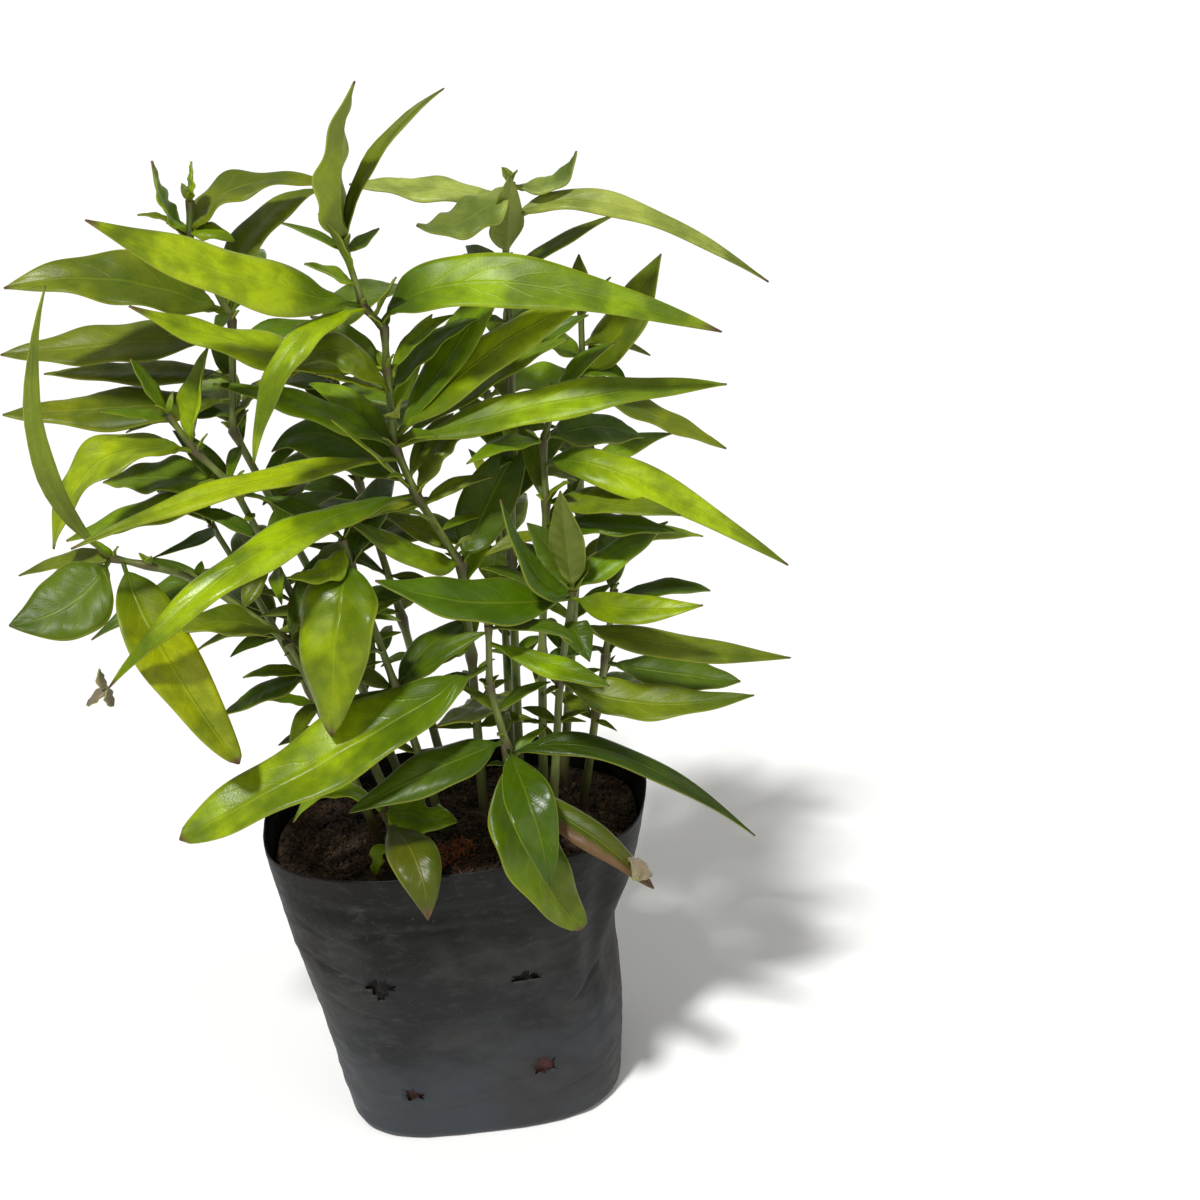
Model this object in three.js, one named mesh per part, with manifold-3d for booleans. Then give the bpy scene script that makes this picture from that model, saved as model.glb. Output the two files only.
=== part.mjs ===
// A bushy herb with long narrow leaves, grown in a small black nursery bag of potting mix.
// Millimetres, +Z up. The origin lies in the plane of the bag's flat base, 1 mm to the right
// of the middle of its mouth, and the bag's front faces -Y. Each leafy stem is one body, its
// leaves grown from the swollen joints of its stem.
import * as THREE from 'three';
import { mergeVertices } from 'three/addons/utils/BufferGeometryUtils.js';
import Module from 'manifold-3d';

const wasm = await Module();
wasm.setup();

// Driving dimensions of the bag: a 127 mm wide flat bag, opened, filled and standing.
const BAG_HEIGHT = 87;
const BAG_WALL = 0.9;
const BAG_SIDES = 28;
const BAG_HALF_WIDTHS = [38, 40, 42, 44.5, 47.5, 50.5];
const BAG_HALF_DEPTHS = [29, 30, 31, 31.5, 31.5, 32];
const BAG_SQUARENESS_AT_BASE = 3.2;
const BAG_SQUARENESS_AT_MOUTH = 2.5;
const BAG_LEAN_AT_BASE = 4;
const BAG_LEAN_AT_MOUTH = 1;
const BAG_LEVELS = [0, 0.035, 0.16, 0.3, 0.44, 0.58, 0.72, 0.9, 1];
const BAG_FOOT_SCALE = 0.93;
const WRINKLE_DEPTH = 0.25;
const WRINKLES_UP_THE_BAG = 5;
const RIM_RISE_AT_ENDS = 1.6;
const RIM_RISE_AT_BACK = 1.2;
const RIM_WAVE = 0.7;

// Broad folds of the film: how deep each is, where it lies (angle from the right-hand end
// of the mouth, level up the bag) and how far it spreads.
const FOLDS = [
  { depth: 5.6, angle: -0.25, width: 0.4, level: 0.54, height: 0.16 },
  { depth: 2.4, angle: -0.75, width: 0.16, level: 0.7, height: 0.3 },
  { depth: 1.0, angle: -2.6, width: 0.4, level: 0.3, height: 0.2 },
];

// Punched drain holes, the same in the front and the back layer: x and z of each.
const DRAIN_HOLES = [[-25, 54], [13, 52], [-22, 17], [14, 22]];
const DRAIN_RADIUS = 3;
const PUNCH_LENGTH = 90;

// Potting mix and the fit of what stands in it.
const FIT_GAP = 0.3;
const SOIL_LEVEL = 0.9;
const SOIL_RINGS = [0.75, 0.4];
const SOIL_CROWN = 2.5;
const FOOT_BOTTOM = 66;
const FOOT_TOP = 84;
const HOLE_TOP = 93;

// Stems and leaves.
const STEM_SIDES = 5;
const STEM_RADIUS_AT_SOIL = 1.7;
const STEM_RADIUS_AT_TIP = 0.9;
const JOINT_SWELL = 1.45;
const JOINT_LENGTH = 2.6;
const BLADE_THICKNESS = 0.7;
const PETIOLE_PART = 0.07;
const PETIOLE_HALF_WIDTH = 0.8;
const TIP_HALF_WIDTH = 0.4;
const WAVE = 0.07;
const SHADE_SHORTENING = 0.5;
const BOW_PLACE = 0.4;
const BOW_RISE = 0.28;

// A repeatable draw of numbers: each follows from the one before.
const DRAW_FACTOR = 16807;
const DRAW_RANGE = 2147483647;

// Where along a blade its cross-sections lie: more of them on a wider blade.
const BLADE_STEPS = [
  { narrowest: 10.5, steps: [0, 0.07, 0.25, 0.5, 0.76, 1] },
  { narrowest: 7, steps: [0, 0.1, 0.34, 0.66, 1] },
  { narrowest: 0, steps: [0, 0.1, 0.5, 1] },
];

const LEAF_GREEN = 0x4f8f2c;
const DARK_LEAF_GREEN = 0x2f6424;
const YELLOW_LEAF_GREEN = 0x8aa838;
const BAG_BLACK = 0x26282b;
const SOIL_BROWN = 0x3a291c;

const UP = new THREE.Vector3(0, 0, 1);

// One leaf: the height of its joint on the stem, the point that it bows towards, where its tip
// is, and its full width. face: roll of the upper face towards the front, in degrees;
// fold: how far the two halves close up along the midrib.
function leaf(joint, bow, tip, wide, shape = {}) {
  const place = { joint, bow: new THREE.Vector3(...bow), tip: new THREE.Vector3(...tip), wide };
  return { ...place, face: 15, fold: 0.25, ...shape };
}

// The leafy stems. Each path starts at the foot in the soil and runs from joint to joint
// up to the growing tip.
const STEMS = [
  {
    name: 'stem_crown',
    colour: LEAF_GREEN,
    path: [[6, 5], [9, 4, 130], [10, 2, 157], [2, 0, 178], [-1, 0, 191],
      [0, 0, 211], [1, 0, 221], [-3, 0, 227], [-5, 0, 241]],
    leaves: [
      leaf(241, [-6, -2, 260], [4, -8, 280], 16, { face: 20, fold: 0.35 }),
      leaf(241, [-1, 6, 261], [22, 10, 272], 4.8, { fold: 0.4 }),
      leaf(240, [-10, 1, 245], [-19, 3, 248], 3),
      leaf(240, [-2, 2, 242], [3, 6, 243], 4),
      leaf(234, [-6, -2, 243], [-9, -4, 251], 4, { fold: 0.6 }),
      leaf(227, [-29, -17, 242], [-55, -26, 262], 18, { face: 40 }),
      leaf(232, [-8, -2, 236], [-14, -4, 240], 7),
      leaf(224, [2, -2, 229], [6, -6, 235], 5),
      leaf(226, [-20, -28, 236], [-31, -24, 201], 8),
      leaf(222, [14, -10, 244], [78, -12, 215], 16, { face: 35 }),
      leaf(211, [-31, -2, 218], [-55, -4, 235], 16),
      leaf(205, [-6, -4, 211], [-15, -11, 216], 4),
      leaf(193, [19, 10, 216], [33, 12, 230], 11, { face: 20 }),
      leaf(193, [25, 3, 216], [51, 2, 222], 12, { face: 30 }),
      leaf(191, [40, -7, 204], [79, -2, 198], 11, { face: 30 }),
      leaf(192, [29, 13, 205], [43, 14, 208], 9),
      leaf(191, [-18, 5, 204], [-43, 12, 208], 9),
      leaf(188, [-34, -18, 197], [-74, -31, 189], 10, { fold: 0.35 }),
      leaf(179, [-5, -4, 191], [-14, -9, 204], 4),
      leaf(178, [-36, -32, 192], [-70, -43, 159], 13),
      leaf(205, [-6, -16, 229], [-19, -8, 217], 12, { face: 30 }),
      leaf(204, [8, 8, 216], [23, 8, 218], 8),
      leaf(179, [-20, 20, 198], [-33, 16, 187], 15, { face: 30 }),
      leaf(177, [8, 2, 196], [18, 4, 191], 10),
      leaf(157, [2, -5, 161], [-16, -8, 179], 9, { face: 25 }),
      leaf(157, [18, 12, 170], [31, 14, 186], 14, { face: 40 }),
    ],
  },
  {
    name: 'stem_right_top',
    colour: LEAF_GREEN,
    path: [[16, 12], [22, 17, 150], [29, 20, 205], [30, 20, 226], [34, 20, 246]],
    leaves: [
      leaf(236, [50, 16, 251], [92, 12, 217], 8, { face: 25, fold: 0.5 }),
      leaf(245, [47, 23, 241], [50, 22, 251], 8),
      leaf(229, [32, 17, 237], [34, 12, 250], 14, { face: 0, fold: 0.35 }),
      leaf(246, [24, 10, 239], [12, 0, 242], 12),
      leaf(242, [13, 30, 245], [-4, 24, 249], 11),
      leaf(223, [44, 29, 228], [58, 34, 231], 5),
      leaf(188, [27, 15, 187], [27, 8, 182], 6, { fold: 0.4 }),
      leaf(112, [11, -15, 125], [1, -32, 132], 9),
      leaf(205, [36, 38, 216], [46, 64, 198], 12),
      leaf(224, [22, 36, 227], [10, 60, 212], 10),
    ],
  },
  {
    name: 'stem_left_back',
    colour: DARK_LEAF_GREEN,
    path: [[-14, 12], [-28, 15, 150], [-41, 15, 194], [-36, 15, 222], [-42, 15, 243],
      [-40, 15, 252]],
    leaves: [
      leaf(243, [-35, 20, 259], [-7, 25, 249], 13),
      leaf(252, [-39, 15, 256], [-38, 15, 261], 5),
      leaf(245, [-47, 12, 250], [-46, 12, 263], 8, { face: 30 }),
      leaf(244, [-46, 14, 250], [-52, 12, 251], 3),
      leaf(244, [-37, 14, 247], [-31, 12, 242], 6),
      leaf(228, [-29, 26, 247], [-11, 34, 246], 11),
      leaf(223, [-56, 6, 243], [-84, 4, 240], 16, { face: 35 }),
      leaf(218, [-69, 22, 218], [-94, 22, 218], 14, { face: 20 }),
      leaf(208, [-63, 26, 210], [-87, 30, 209], 10),
      leaf(202, [-70, 12, 204], [-93, 8, 208], 16),
      leaf(222, [-34, 33, 237], [-32, 60, 224], 11),
      leaf(194, [-48, 35, 206], [-58, 64, 188], 12),
    ],
  },
  {
    name: 'stem_left_mid',
    colour: LEAF_GREEN,
    path: [[-16, 0], [-28, 0, 140], [-41, 0, 186], [-48, 0, 196], [-53, 1, 206]],
    leaves: [
      leaf(196, [-72, -10, 210], [-82, -17, 183], 15),
      leaf(198, [-46, 2, 207], [-41, 4, 220], 9, { fold: 0.7 }),
      leaf(206, [-56, 2, 214], [-59, 3, 220], 4),
      leaf(205, [-58, -1, 208], [-67, -5, 211], 4),
      leaf(187, [-61, 13, 187], [-75, 14, 185], 13),
      leaf(184, [-65, 3, 181], [-84, 2, 176], 12),
      leaf(178, [-38, -2, 179], [-38, -4, 178], 3),
    ],
  },
  {
    name: 'stem_left_low',
    colour: YELLOW_LEAF_GREEN,
    path: [[-22, -4], [-27, -9, 120], [-33, -14, 150], [-51, -15, 170], [-62, -15, 175],
      [-70, -15, 178]],
    leaves: [
      leaf(177, [-63, -36, 163], [-45, -42, 134], 16, { face: 0 }),
      leaf(178, [-78, -24, 168], [-94, -26, 169], 19, { face: 35 }),
      leaf(178, [-82, -36, 223], [-64, -36, 252], 5),
      leaf(177, [-78, -11, 179], [-95, -6, 172], 6),
      leaf(166, [-55, -10, 170], [-66, -3, 172], 4),
      leaf(152, [-45, -20, 164], [-56, -26, 162], 9, { face: 30 }),
      leaf(160, [-39, -11, 165], [-35, -6, 167], 5),
      leaf(149, [-32, -12, 147], [-31, -10, 138], 7),
      leaf(138, [-40, -12, 137], [-54, -12, 130], 8),
      leaf(150, [-46, -8, 155], [-58, -8, 146], 3.4),
    ],
  },
  {
    name: 'stem_centre_left',
    colour: YELLOW_LEAF_GREEN,
    path: [[-4, -6], [-10, -8, 130], [-15, -11, 167], [-16, -11, 174]],
    leaves: [
      leaf(168, [-17, -32, 167], [-24, -33, 133], 20, { face: 0 }),
      leaf(167, [-11, 1, 179], [-4, 20, 176], 9),
      leaf(174, [-23, -8, 182], [-34, -4, 184], 6),
      leaf(172, [-18, -18, 167], [-29, -22, 171], 8),
      leaf(130, [-23, -22, 134], [-32, -28, 126], 6),
      leaf(130, [-1, 0, 140], [12, 12, 136], 9),
    ],
  },
  {
    name: 'stem_right_mid',
    colour: LEAF_GREEN,
    path: [[22, 0], [27, -1, 130], [33, -2, 173], [34, 4, 186], [38, 8, 195]],
    leaves: [
      leaf(181, [47, -12, 194], [89, -17, 156], 11, { face: 30 }),
      leaf(173, [45, -11, 178], [64, -24, 176], 9),
      leaf(167, [49, -16, 173], [63, -14, 167], 8),
      leaf(187, [49, 18, 185], [59, 16, 179], 12, { face: 30 }),
      leaf(195, [44, 9, 204], [54, 10, 207], 6),
      leaf(186, [27, -2, 192], [16, -12, 190], 6),
    ],
  },
  {
    name: 'stem_centre_low',
    colour: DARK_LEAF_GREEN,
    path: [[24, -10], [31, -14, 130], [37, -15, 155]],
    leaves: [
      leaf(154, [27, -24, 161], [23, -19, 183], 11, { face: 30 }),
      leaf(155, [34, -12, 164], [28, -8, 171], 9),
      leaf(155, [37, -16, 168], [37, -18, 183], 9, { face: 20 }),
      leaf(155, [47, -9, 162], [62, 0, 163], 9),
      leaf(153, [12, -29, 160], [-8, -27, 170], 14, { face: 30 }),
      leaf(153, [49, -30, 154], [67, -30, 155], 9, { face: 30 }),
      leaf(146, [61, -24, 141], [88, -18, 131], 8, { face: 30 }),
      leaf(146, [37, -18, 147], [39, -24, 140], 8, { face: 0 }),
      leaf(130, [47, -26, 124], [78, -22, 124], 11, { face: 30 }),
    ],
  },
  {
    name: 'stem_front_low',
    colour: YELLOW_LEAF_GREEN,
    path: [[12, -14], [16, -20, 116], [14, -20, 134], [16, -20, 151]],
    leaves: [
      leaf(140, [-25, -35, 129], [-63, -42, 115], 20, { face: 20 }),
      leaf(146, [35, -31, 142], [43, -38, 141], 7),
      leaf(150, [33, -26, 154], [36, -32, 150], 4.5),
      leaf(118, [-1, -32, 122], [-23, -36, 113], 12, { face: 25 }),
      leaf(116, [24, -45, 113], [23, -46, 92], 12, { face: 0 }),
      leaf(114, [14, -40, 98], [29, -40, 73], 18, { face: 0 }),
      leaf(103, [36, -37, 103], [48, -40, 83], 10),
      leaf(113, [39, -22, 126], [75, -27, 86], 8),
    ],
  },
  {
    name: 'stem_right_low',
    colour: DARK_LEAF_GREEN,
    path: [[33, 3], [39, 0, 112], [43, -1, 128], [47, 0, 146]],
    leaves: [
      leaf(126, [64, -6, 122], [76, -8, 120], 11),
      leaf(144, [61, -9, 151], [70, -14, 150], 6),
      leaf(145, [48, 10, 156], [50, 26, 152], 8),
      leaf(111, [46, 10, 118], [58, 24, 104], 9),
    ],
  },
  {
    name: 'stem_back_right',
    colour: DARK_LEAF_GREEN,
    path: [[28, 15], [38, 24, 140], [45, 29, 185], [47, 30, 210]],
    leaves: [
      leaf(192, [58, 24, 204], [68, 30, 221], 14, { face: 30, fold: 0.45 }),
      leaf(210, [47, 30, 215], [48, 31, 223], 6),
      leaf(207, [50, 28, 213], [55, 26, 218], 5),
      leaf(200, [53, 30, 202], [63, 30, 195], 6),
      leaf(192, [50, 27, 196], [56, 24, 192], 8),
      leaf(189, [63, 27, 180], [80, 28, 168], 9),
      leaf(196, [41, 30, 203], [34, 32, 204], 8),
    ],
    pairs: { joints: [140], heading: 40, reach: 46, wide: 12, seed: 11 },
  },
  {
    name: 'stem_back_left',
    colour: DARK_LEAF_GREEN,
    path: [[-4, 20], [-10, 32, 128], [-16, 40, 165], [-18, 44, 192], [-19, 45, 204]],
    leaves: [],
    pairs: { joints: [150, 172, 190, 203], heading: 150, reach: 52, wide: 13, seed: 3 },
  },
  {
    name: 'stem_back_mid',
    colour: LEAF_GREEN,
    path: [[14, 22], [17, 38, 122], [19, 48, 160], [20, 52, 182]],
    leaves: [],
    pairs: { joints: [140, 180], heading: 90, reach: 44, wide: 12, seed: 8 },
  },
  {
    name: 'stem_left_rear',
    colour: DARK_LEAF_GREEN,
    path: [[-25, 8], [-36, 20, 116], [-47, 26, 146], [-54, 28, 164]],
    leaves: [
      leaf(163, [-51, 14, 167], [-66, 10, 165], 4.5),
      leaf(163, [-62, 37, 175], [-74, 50, 173], 10),
      leaf(150, [-64, 21, 155], [-87, 12, 143], 9),
      leaf(149, [-45, 40, 159], [-40, 60, 144], 12),
      leaf(132, [-52, 37, 144], [-66, 58, 136], 11),
      leaf(127, [-34, 31, 131], [-24, 44, 118], 10),
    ],
  },
  {
    name: 'stem_rim_sprout',
    colour: YELLOW_LEAF_GREEN,
    path: [[-15, -14], [-18, -15, 99]],
    leaves: [
      leaf(98, [-10, -17, 99], [1, -20, 96], 14, { face: 20 }),
      leaf(98, [-29, -17, 117], [-40, -19, 101], 7),
      leaf(95, [-5, -42, 103], [-8, -42, 83], 15, { face: 0 }),
    ],
  },
];

// Half width and half depth of the bag at a level from 0, the base, to 1, the mouth.
const widthCurve = new THREE.SplineCurve(
  BAG_HALF_WIDTHS.map((half, i) => new THREE.Vector2(half, BAG_HALF_DEPTHS[i])));

function gauss(offset, spread) {
  return Math.exp(-((offset / spread) ** 2));
}

// How far the film is pulled in at a place, by the broad folds and by shallow wrinkles
// that run round the bag.
function filmDip(level, angle) {
  const fromRight = Math.atan2(Math.sin(angle), Math.cos(angle));
  const folds = FOLDS.reduce((sum, fold) => sum + fold.depth
    * gauss(fromRight - fold.angle, fold.width) * gauss(level - fold.level, fold.height), 0);
  const fade = Math.sin(Math.PI * level);
  const course = 2 * Math.PI * WRINKLES_UP_THE_BAG * level + 2 * Math.sin(2 * angle);
  return folds + WRINKLE_DEPTH * fade * Math.sin(course);
}

// Height of the mouth's edge: it rises to the two ends of the flattened mouth.
function rimHeight(angle) {
  const ends = RIM_RISE_AT_ENDS * Math.cos(2 * angle) + RIM_RISE_AT_BACK * Math.sin(angle);
  return BAG_HEIGHT + ends + RIM_WAVE * Math.sin(5 * angle + 1);
}

// How far to the left of the origin the bag's middle lies: it leans, with its base furthest.
function bagLean(level) {
  return THREE.MathUtils.lerp(BAG_LEAN_AT_BASE, BAG_LEAN_AT_MOUTH, level ** 3);
}

// A point of the bag's film, moved inwards by inset.
function bagPoint(level, angle, inset) {
  const half = widthCurve.getPoint(level);
  const foot = level < BAG_LEVELS[1] ? BAG_FOOT_SCALE : 1;
  const squareness = THREE.MathUtils.lerp(BAG_SQUARENESS_AT_BASE, BAG_SQUARENESS_AT_MOUTH, level);
  const bend = (value) => Math.sign(value) * Math.abs(value) ** (2 / squareness);
  const pull = inset + filmDip(level, angle);
  return new THREE.Vector3(
    (half.x * foot - pull) * bend(Math.cos(angle)) - bagLean(level),
    (half.y * foot - pull) * bend(Math.sin(angle)),
    level * rimHeight(angle));
}

// A closed geometry from rings of points with equal counts, capped at both ends. Each
// four-sided patch is split along the diagonal that starts at its first or second point.
function loftRings(rings, fromFirst = shorterFromFirst) {
  const count = rings[0].length;
  const positions = rings.flat().flatMap((point) => point.toArray());
  const faces = [];
  for (let r = 0; r + 1 < rings.length; r++) {
    for (let i = 0; i < count; i++) {
      const next = (i + 1) % count;
      const a = r * count + i;
      const b = r * count + next;
      const corners = [rings[r][i], rings[r][next], rings[r + 1][next], rings[r + 1][i]];
      faces.push(...(fromFirst(corners, i)
        ? [a, b, b + count, a, b + count, a + count]
        : [a, b, a + count, b, b + count, a + count]));
    }
  }
  for (const end of [0, rings.length - 1]) {
    const middle = new THREE.Vector3();
    rings[end].forEach((point) => middle.addScaledVector(point, 1 / count));
    const centre = positions.length / 3;
    positions.push(...middle.toArray());
    for (let i = 0; i < count; i++) {
      const a = end * count + i;
      const b = end * count + (i + 1) % count;
      faces.push(...(end === 0 ? [centre, b, a] : [centre, a, b]));
    }
  }
  const geometry = new THREE.BufferGeometry();
  geometry.setAttribute('position', new THREE.Float32BufferAttribute(positions, 3));
  geometry.setIndex(faces);
  return geometry;
}

// The bag and the mix in it take the shorter diagonals, so their facets stay parallel.
function shorterFromFirst([a, b, c, d]) {
  return a.distanceTo(c) < b.distanceTo(d) - 1e-3;
}

// Solids for joining and cutting, and back to a geometry.
function toSolid(geometry) {
  const bare = new THREE.BufferGeometry();
  bare.setAttribute('position', geometry.getAttribute('position'));
  bare.setIndex(geometry.getIndex());
  const merged = mergeVertices(bare, 1e-4);
  return new wasm.Manifold(new wasm.Mesh({
    numProp: 3,
    vertProperties: new Float32Array(merged.getAttribute('position').array),
    triVerts: new Uint32Array(merged.getIndex().array),
  }));
}

function toGeometry(solid) {
  const mesh = solid.getMesh();
  const geometry = new THREE.BufferGeometry();
  geometry.setAttribute('position', new THREE.BufferAttribute(mesh.vertProperties, 3));
  geometry.setIndex(new THREE.BufferAttribute(mesh.triVerts, 1));
  geometry.computeVertexNormals();
  return geometry;
}

function ringAngles() {
  return Array.from({ length: BAG_SIDES }, (_, i) => (2 * Math.PI * i) / BAG_SIDES);
}

// The bag: up the outside, over the rim and down the inside to its floor.
function buildBag() {
  const angles = ringAngles();
  const wall = (level, inset) => angles.map((angle) => bagPoint(level, angle, inset));
  const outside = BAG_LEVELS.map((level) => wall(level, 0));
  const inside = BAG_LEVELS.slice(1).reverse().map((level) => wall(level, BAG_WALL));
  const floor = wall(0, BAG_WALL);
  floor.forEach((point) => { point.z = BAG_WALL; });
  let bag = toSolid(loftRings([...outside, ...inside, floor]));
  for (const [x, z] of DRAIN_HOLES) {
    const punch = new THREE.CylinderGeometry(DRAIN_RADIUS, DRAIN_RADIUS, PUNCH_LENGTH, 8);
    bag = bag.subtract(toSolid(punch.translate(x, 0, z)));
  }
  return toGeometry(bag);
}

// Low lumps on the top of the mix.
function soilLump(x, y) {
  return 1.1 * Math.sin(0.29 * x + 1) * Math.cos(0.33 * y) + 0.7 * Math.sin(0.61 * x - 0.47 * y);
}

// The potting mix fills the bag to a lumpy top, and has a plain hole for each stem's foot.
function buildSoil(feet) {
  const angles = ringAngles();
  const inset = BAG_WALL + FIT_GAP;
  const sides = BAG_LEVELS.filter((level) => level <= SOIL_LEVEL)
    .map((level) => angles.map((angle) => bagPoint(level, angle, inset)));
  sides[0].forEach((point) => { point.z = inset; });
  const edge = sides[sides.length - 1];
  const top = SOIL_RINGS.map((part) => edge.map((point) => {
    const place = point.clone().multiply(new THREE.Vector3(part, part, 1));
    place.z += SOIL_CROWN * (1 - part) + soilLump(place.x, place.y);
    return place;
  }));
  let soil = toSolid(loftRings([...sides, ...top]));
  for (const [x, y] of feet) {
    const hole = stemTube(straightUp(x, y, FOOT_BOTTOM - FIT_GAP, HOLE_TOP), FIT_GAP);
    soil = soil.subtract(toSolid(hole));
  }
  return toGeometry(soil);
}

function straightUp(x, y, low, high) {
  return [new THREE.Vector3(x, y, low), new THREE.Vector3(x, y, high)];
}

// A stem from its path: a slender tube, swollen at each joint, with straight lengths between.
function stemTube(path, extra = 0) {
  const stations = [];
  path.forEach((point, i) => {
    const before = path[i - 1];
    const after = path[i + 1];
    const swollen = extra === 0 && i > 1 && after !== undefined;
    if (swollen) stations.push({ at: stepFrom(point, before, JOINT_LENGTH), swell: 1 });
    stations.push({ at: point, swell: swollen ? JOINT_SWELL : 1 });
    if (swollen) stations.push({ at: stepFrom(point, after, JOINT_LENGTH), swell: 1 });
  });
  const low = path[0].z;
  const high = Math.max(path[path.length - 1].z, low + 1);
  const rings = stations.map(({ at, swell }, i) => {
    const from = stations[Math.max(i - 1, 0)].at;
    const to = stations[Math.min(i + 1, stations.length - 1)].at;
    const along = new THREE.Vector3().subVectors(to, from).normalize();
    const part = extra > 0 ? 0 : THREE.MathUtils.clamp((at.z - low) / (high - low), 0, 1);
    const radius = THREE.MathUtils.lerp(STEM_RADIUS_AT_SOIL, STEM_RADIUS_AT_TIP, part);
    return ringAround(at, along, (radius + extra) * swell);
  });
  return loftRings(rings);
}

function stepFrom(point, towards, length) {
  return new THREE.Vector3().subVectors(towards, point).setLength(length).add(point);
}

function ringAround(centre, along, radius) {
  const ahead = new THREE.Vector3(0, 1, 0).cross(along).normalize();
  const across = new THREE.Vector3().crossVectors(along, ahead);
  return Array.from({ length: STEM_SIDES }, (_, i) => {
    const angle = (2 * Math.PI * i) / STEM_SIDES;
    return centre.clone()
      .addScaledVector(ahead, radius * Math.cos(angle))
      .addScaledVector(across, radius * Math.sin(angle));
  });
}

// The point of a stem at a height.
function stemPoint(path, height) {
  const next = path.findIndex((point) => point.z >= height);
  if (next < 1) return path[path.length - 1].clone();
  const part = (height - path[next - 1].z) / (path[next].z - path[next - 1].z);
  return path[next - 1].clone().lerp(path[next], part);
}

// Leaves of a stem that grow as opposite pairs, each pair a quarter turn on from the last.
// heading: where the first pair points, in degrees from +X; reach: the longest leaf. Leaves
// that point forwards, into the shade of the clump, stay shorter.
function pairedLeaves(path, { joints, heading, reach, wide, seed }) {
  const draw = seededDraw(seed);
  return joints.flatMap((joint, k) => [0, 180].map((half) => {
    const turn = THREE.MathUtils.degToRad(heading + 90 * k + half + 30 * (draw() - 0.5));
    const shade = Math.max(0, -Math.sin(turn)) * SHADE_SHORTENING;
    const length = reach * (0.7 + 0.3 * draw()) * (1 - shade);
    const drop = length * (0.35 * draw() - 0.05);
    const root = stemPoint(path, joint);
    const tip = root.clone().add(
      new THREE.Vector3(length * Math.cos(turn), length * Math.sin(turn), -drop));
    const bow = root.clone().lerp(tip, BOW_PLACE).addScaledVector(UP, BOW_RISE * length);
    return leaf(joint, bow.toArray(), tip.toArray(), wide * (0.8 + 0.2 * draw()));
  }));
}

// Draws from 0 to 1 that are the same on every run.
function seededDraw(seed) {
  let state = seed;
  return () => {
    state = (state * DRAW_FACTOR) % DRAW_RANGE;
    return state / DRAW_RANGE;
  };
}

// Half width of a blade along its length: a short stalk, then widest past a third,
// drawn out to a long point.
function halfWidth(part, wide) {
  if (part <= PETIOLE_PART) return PETIOLE_HALF_WIDTH;
  const along = (part - PETIOLE_PART) / (1 - PETIOLE_PART);
  const blade = 0.5 * wide * Math.sin(Math.PI * along ** 0.72);
  return Math.max(blade, THREE.MathUtils.lerp(PETIOLE_HALF_WIDTH, TIP_HALF_WIDTH, along));
}

// A blade: cross-sections of six points along a bowed midrib. Both faces are split into
// triangles alike, so that a waved blade never crosses itself.
function blade(root, { bow, tip, wide, face, fold }) {
  const midrib = new THREE.QuadraticBezierCurve3(root, bow, tip);
  const heading = new THREE.Vector3().subVectors(tip, root).setZ(0).normalize();
  const side = new THREE.Vector3().crossVectors(UP, heading);
  const roll = THREE.MathUtils.degToRad(face) * (side.y > 0 ? 1 : -1);
  const { steps } = BLADE_STEPS.find(({ narrowest }) => wide >= narrowest);
  const rings = steps.map((part, i) => {
    const centre = midrib.getPoint(part);
    const along = midrib.getTangent(part);
    const turn = new THREE.Quaternion().setFromAxisAngle(along, roll * Math.min(1, part / 0.2));
    const across = side.clone().applyQuaternion(turn);
    const above = new THREE.Vector3().crossVectors(along, across);
    const half = halfWidth(part, wide);
    const wave = (i % 2 === 0 ? 1 : -1) * WAVE * half;
    const thick = part <= PETIOLE_PART ? 2 * PETIOLE_HALF_WIDTH : BLADE_THICKNESS;
    const at = (sideways, lift) => centre.clone()
      .addScaledVector(across, sideways)
      .addScaledVector(above, lift);
    const left = fold * half + wave;
    const right = fold * half - wave;
    return [
      at(half, left), at(0, thick / 2), at(-half, right),
      at(-half, right - thick), at(0, -thick / 2), at(half, left - thick),
    ];
  });
  return loftRings(rings, alikeOnBothFaces);
}

// Points 0 to 2 cross the upper face and 3 to 5 come back under it.
function alikeOnBothFaces(corners, i) {
  return i < 3;
}

// A stem's whole path, from its upright foot in the mix to its tip.
function fullPath({ path }) {
  const [x, y] = path[0];
  return [
    ...straightUp(x, y, FOOT_BOTTOM, FOOT_TOP),
    ...path.slice(1).map((point) => new THREE.Vector3(...point)),
  ];
}

function buildStem(stem) {
  const path = fullPath(stem);
  let body = toSolid(stemTube(path));
  const paired = stem.pairs ? pairedLeaves(path, stem.pairs) : [];
  for (const one of [...stem.leaves, ...paired]) {
    body = body.add(toSolid(blade(stemPoint(path, one.joint), one)));
  }
  return toGeometry(body);
}

function addPart(name, geometry, colour, roughness) {
  const material = new THREE.MeshStandardMaterial({ color: colour, roughness, metalness: 0 });
  const mesh = new THREE.Mesh(geometry, material);
  mesh.name = name;
  group.add(mesh);
}

const group = new THREE.Group();
addPart('poly_bag', buildBag(), BAG_BLACK, 0.5);
addPart('potting_mix', buildSoil(STEMS.map((stem) => stem.path[0])), SOIL_BROWN, 0.95);
for (const stem of STEMS) {
  addPart(stem.name, buildStem(stem), stem.colour, 0.45);
}

export default group;
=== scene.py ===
"""A bushy potted herb in a small black nursery bag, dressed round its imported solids.

Sizes are written in millimetres, as they are read off the plant, and turned to metres
where a mesh is made. Colours are linear red, green and blue.
"""
from __future__ import annotations

import logging
import math
from dataclasses import dataclass, field
from enum import Enum
from typing import Callable, Sequence

import bmesh
import bpy
import numpy as np
from mathutils import Matrix, Quaternion, Vector, noise


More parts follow.
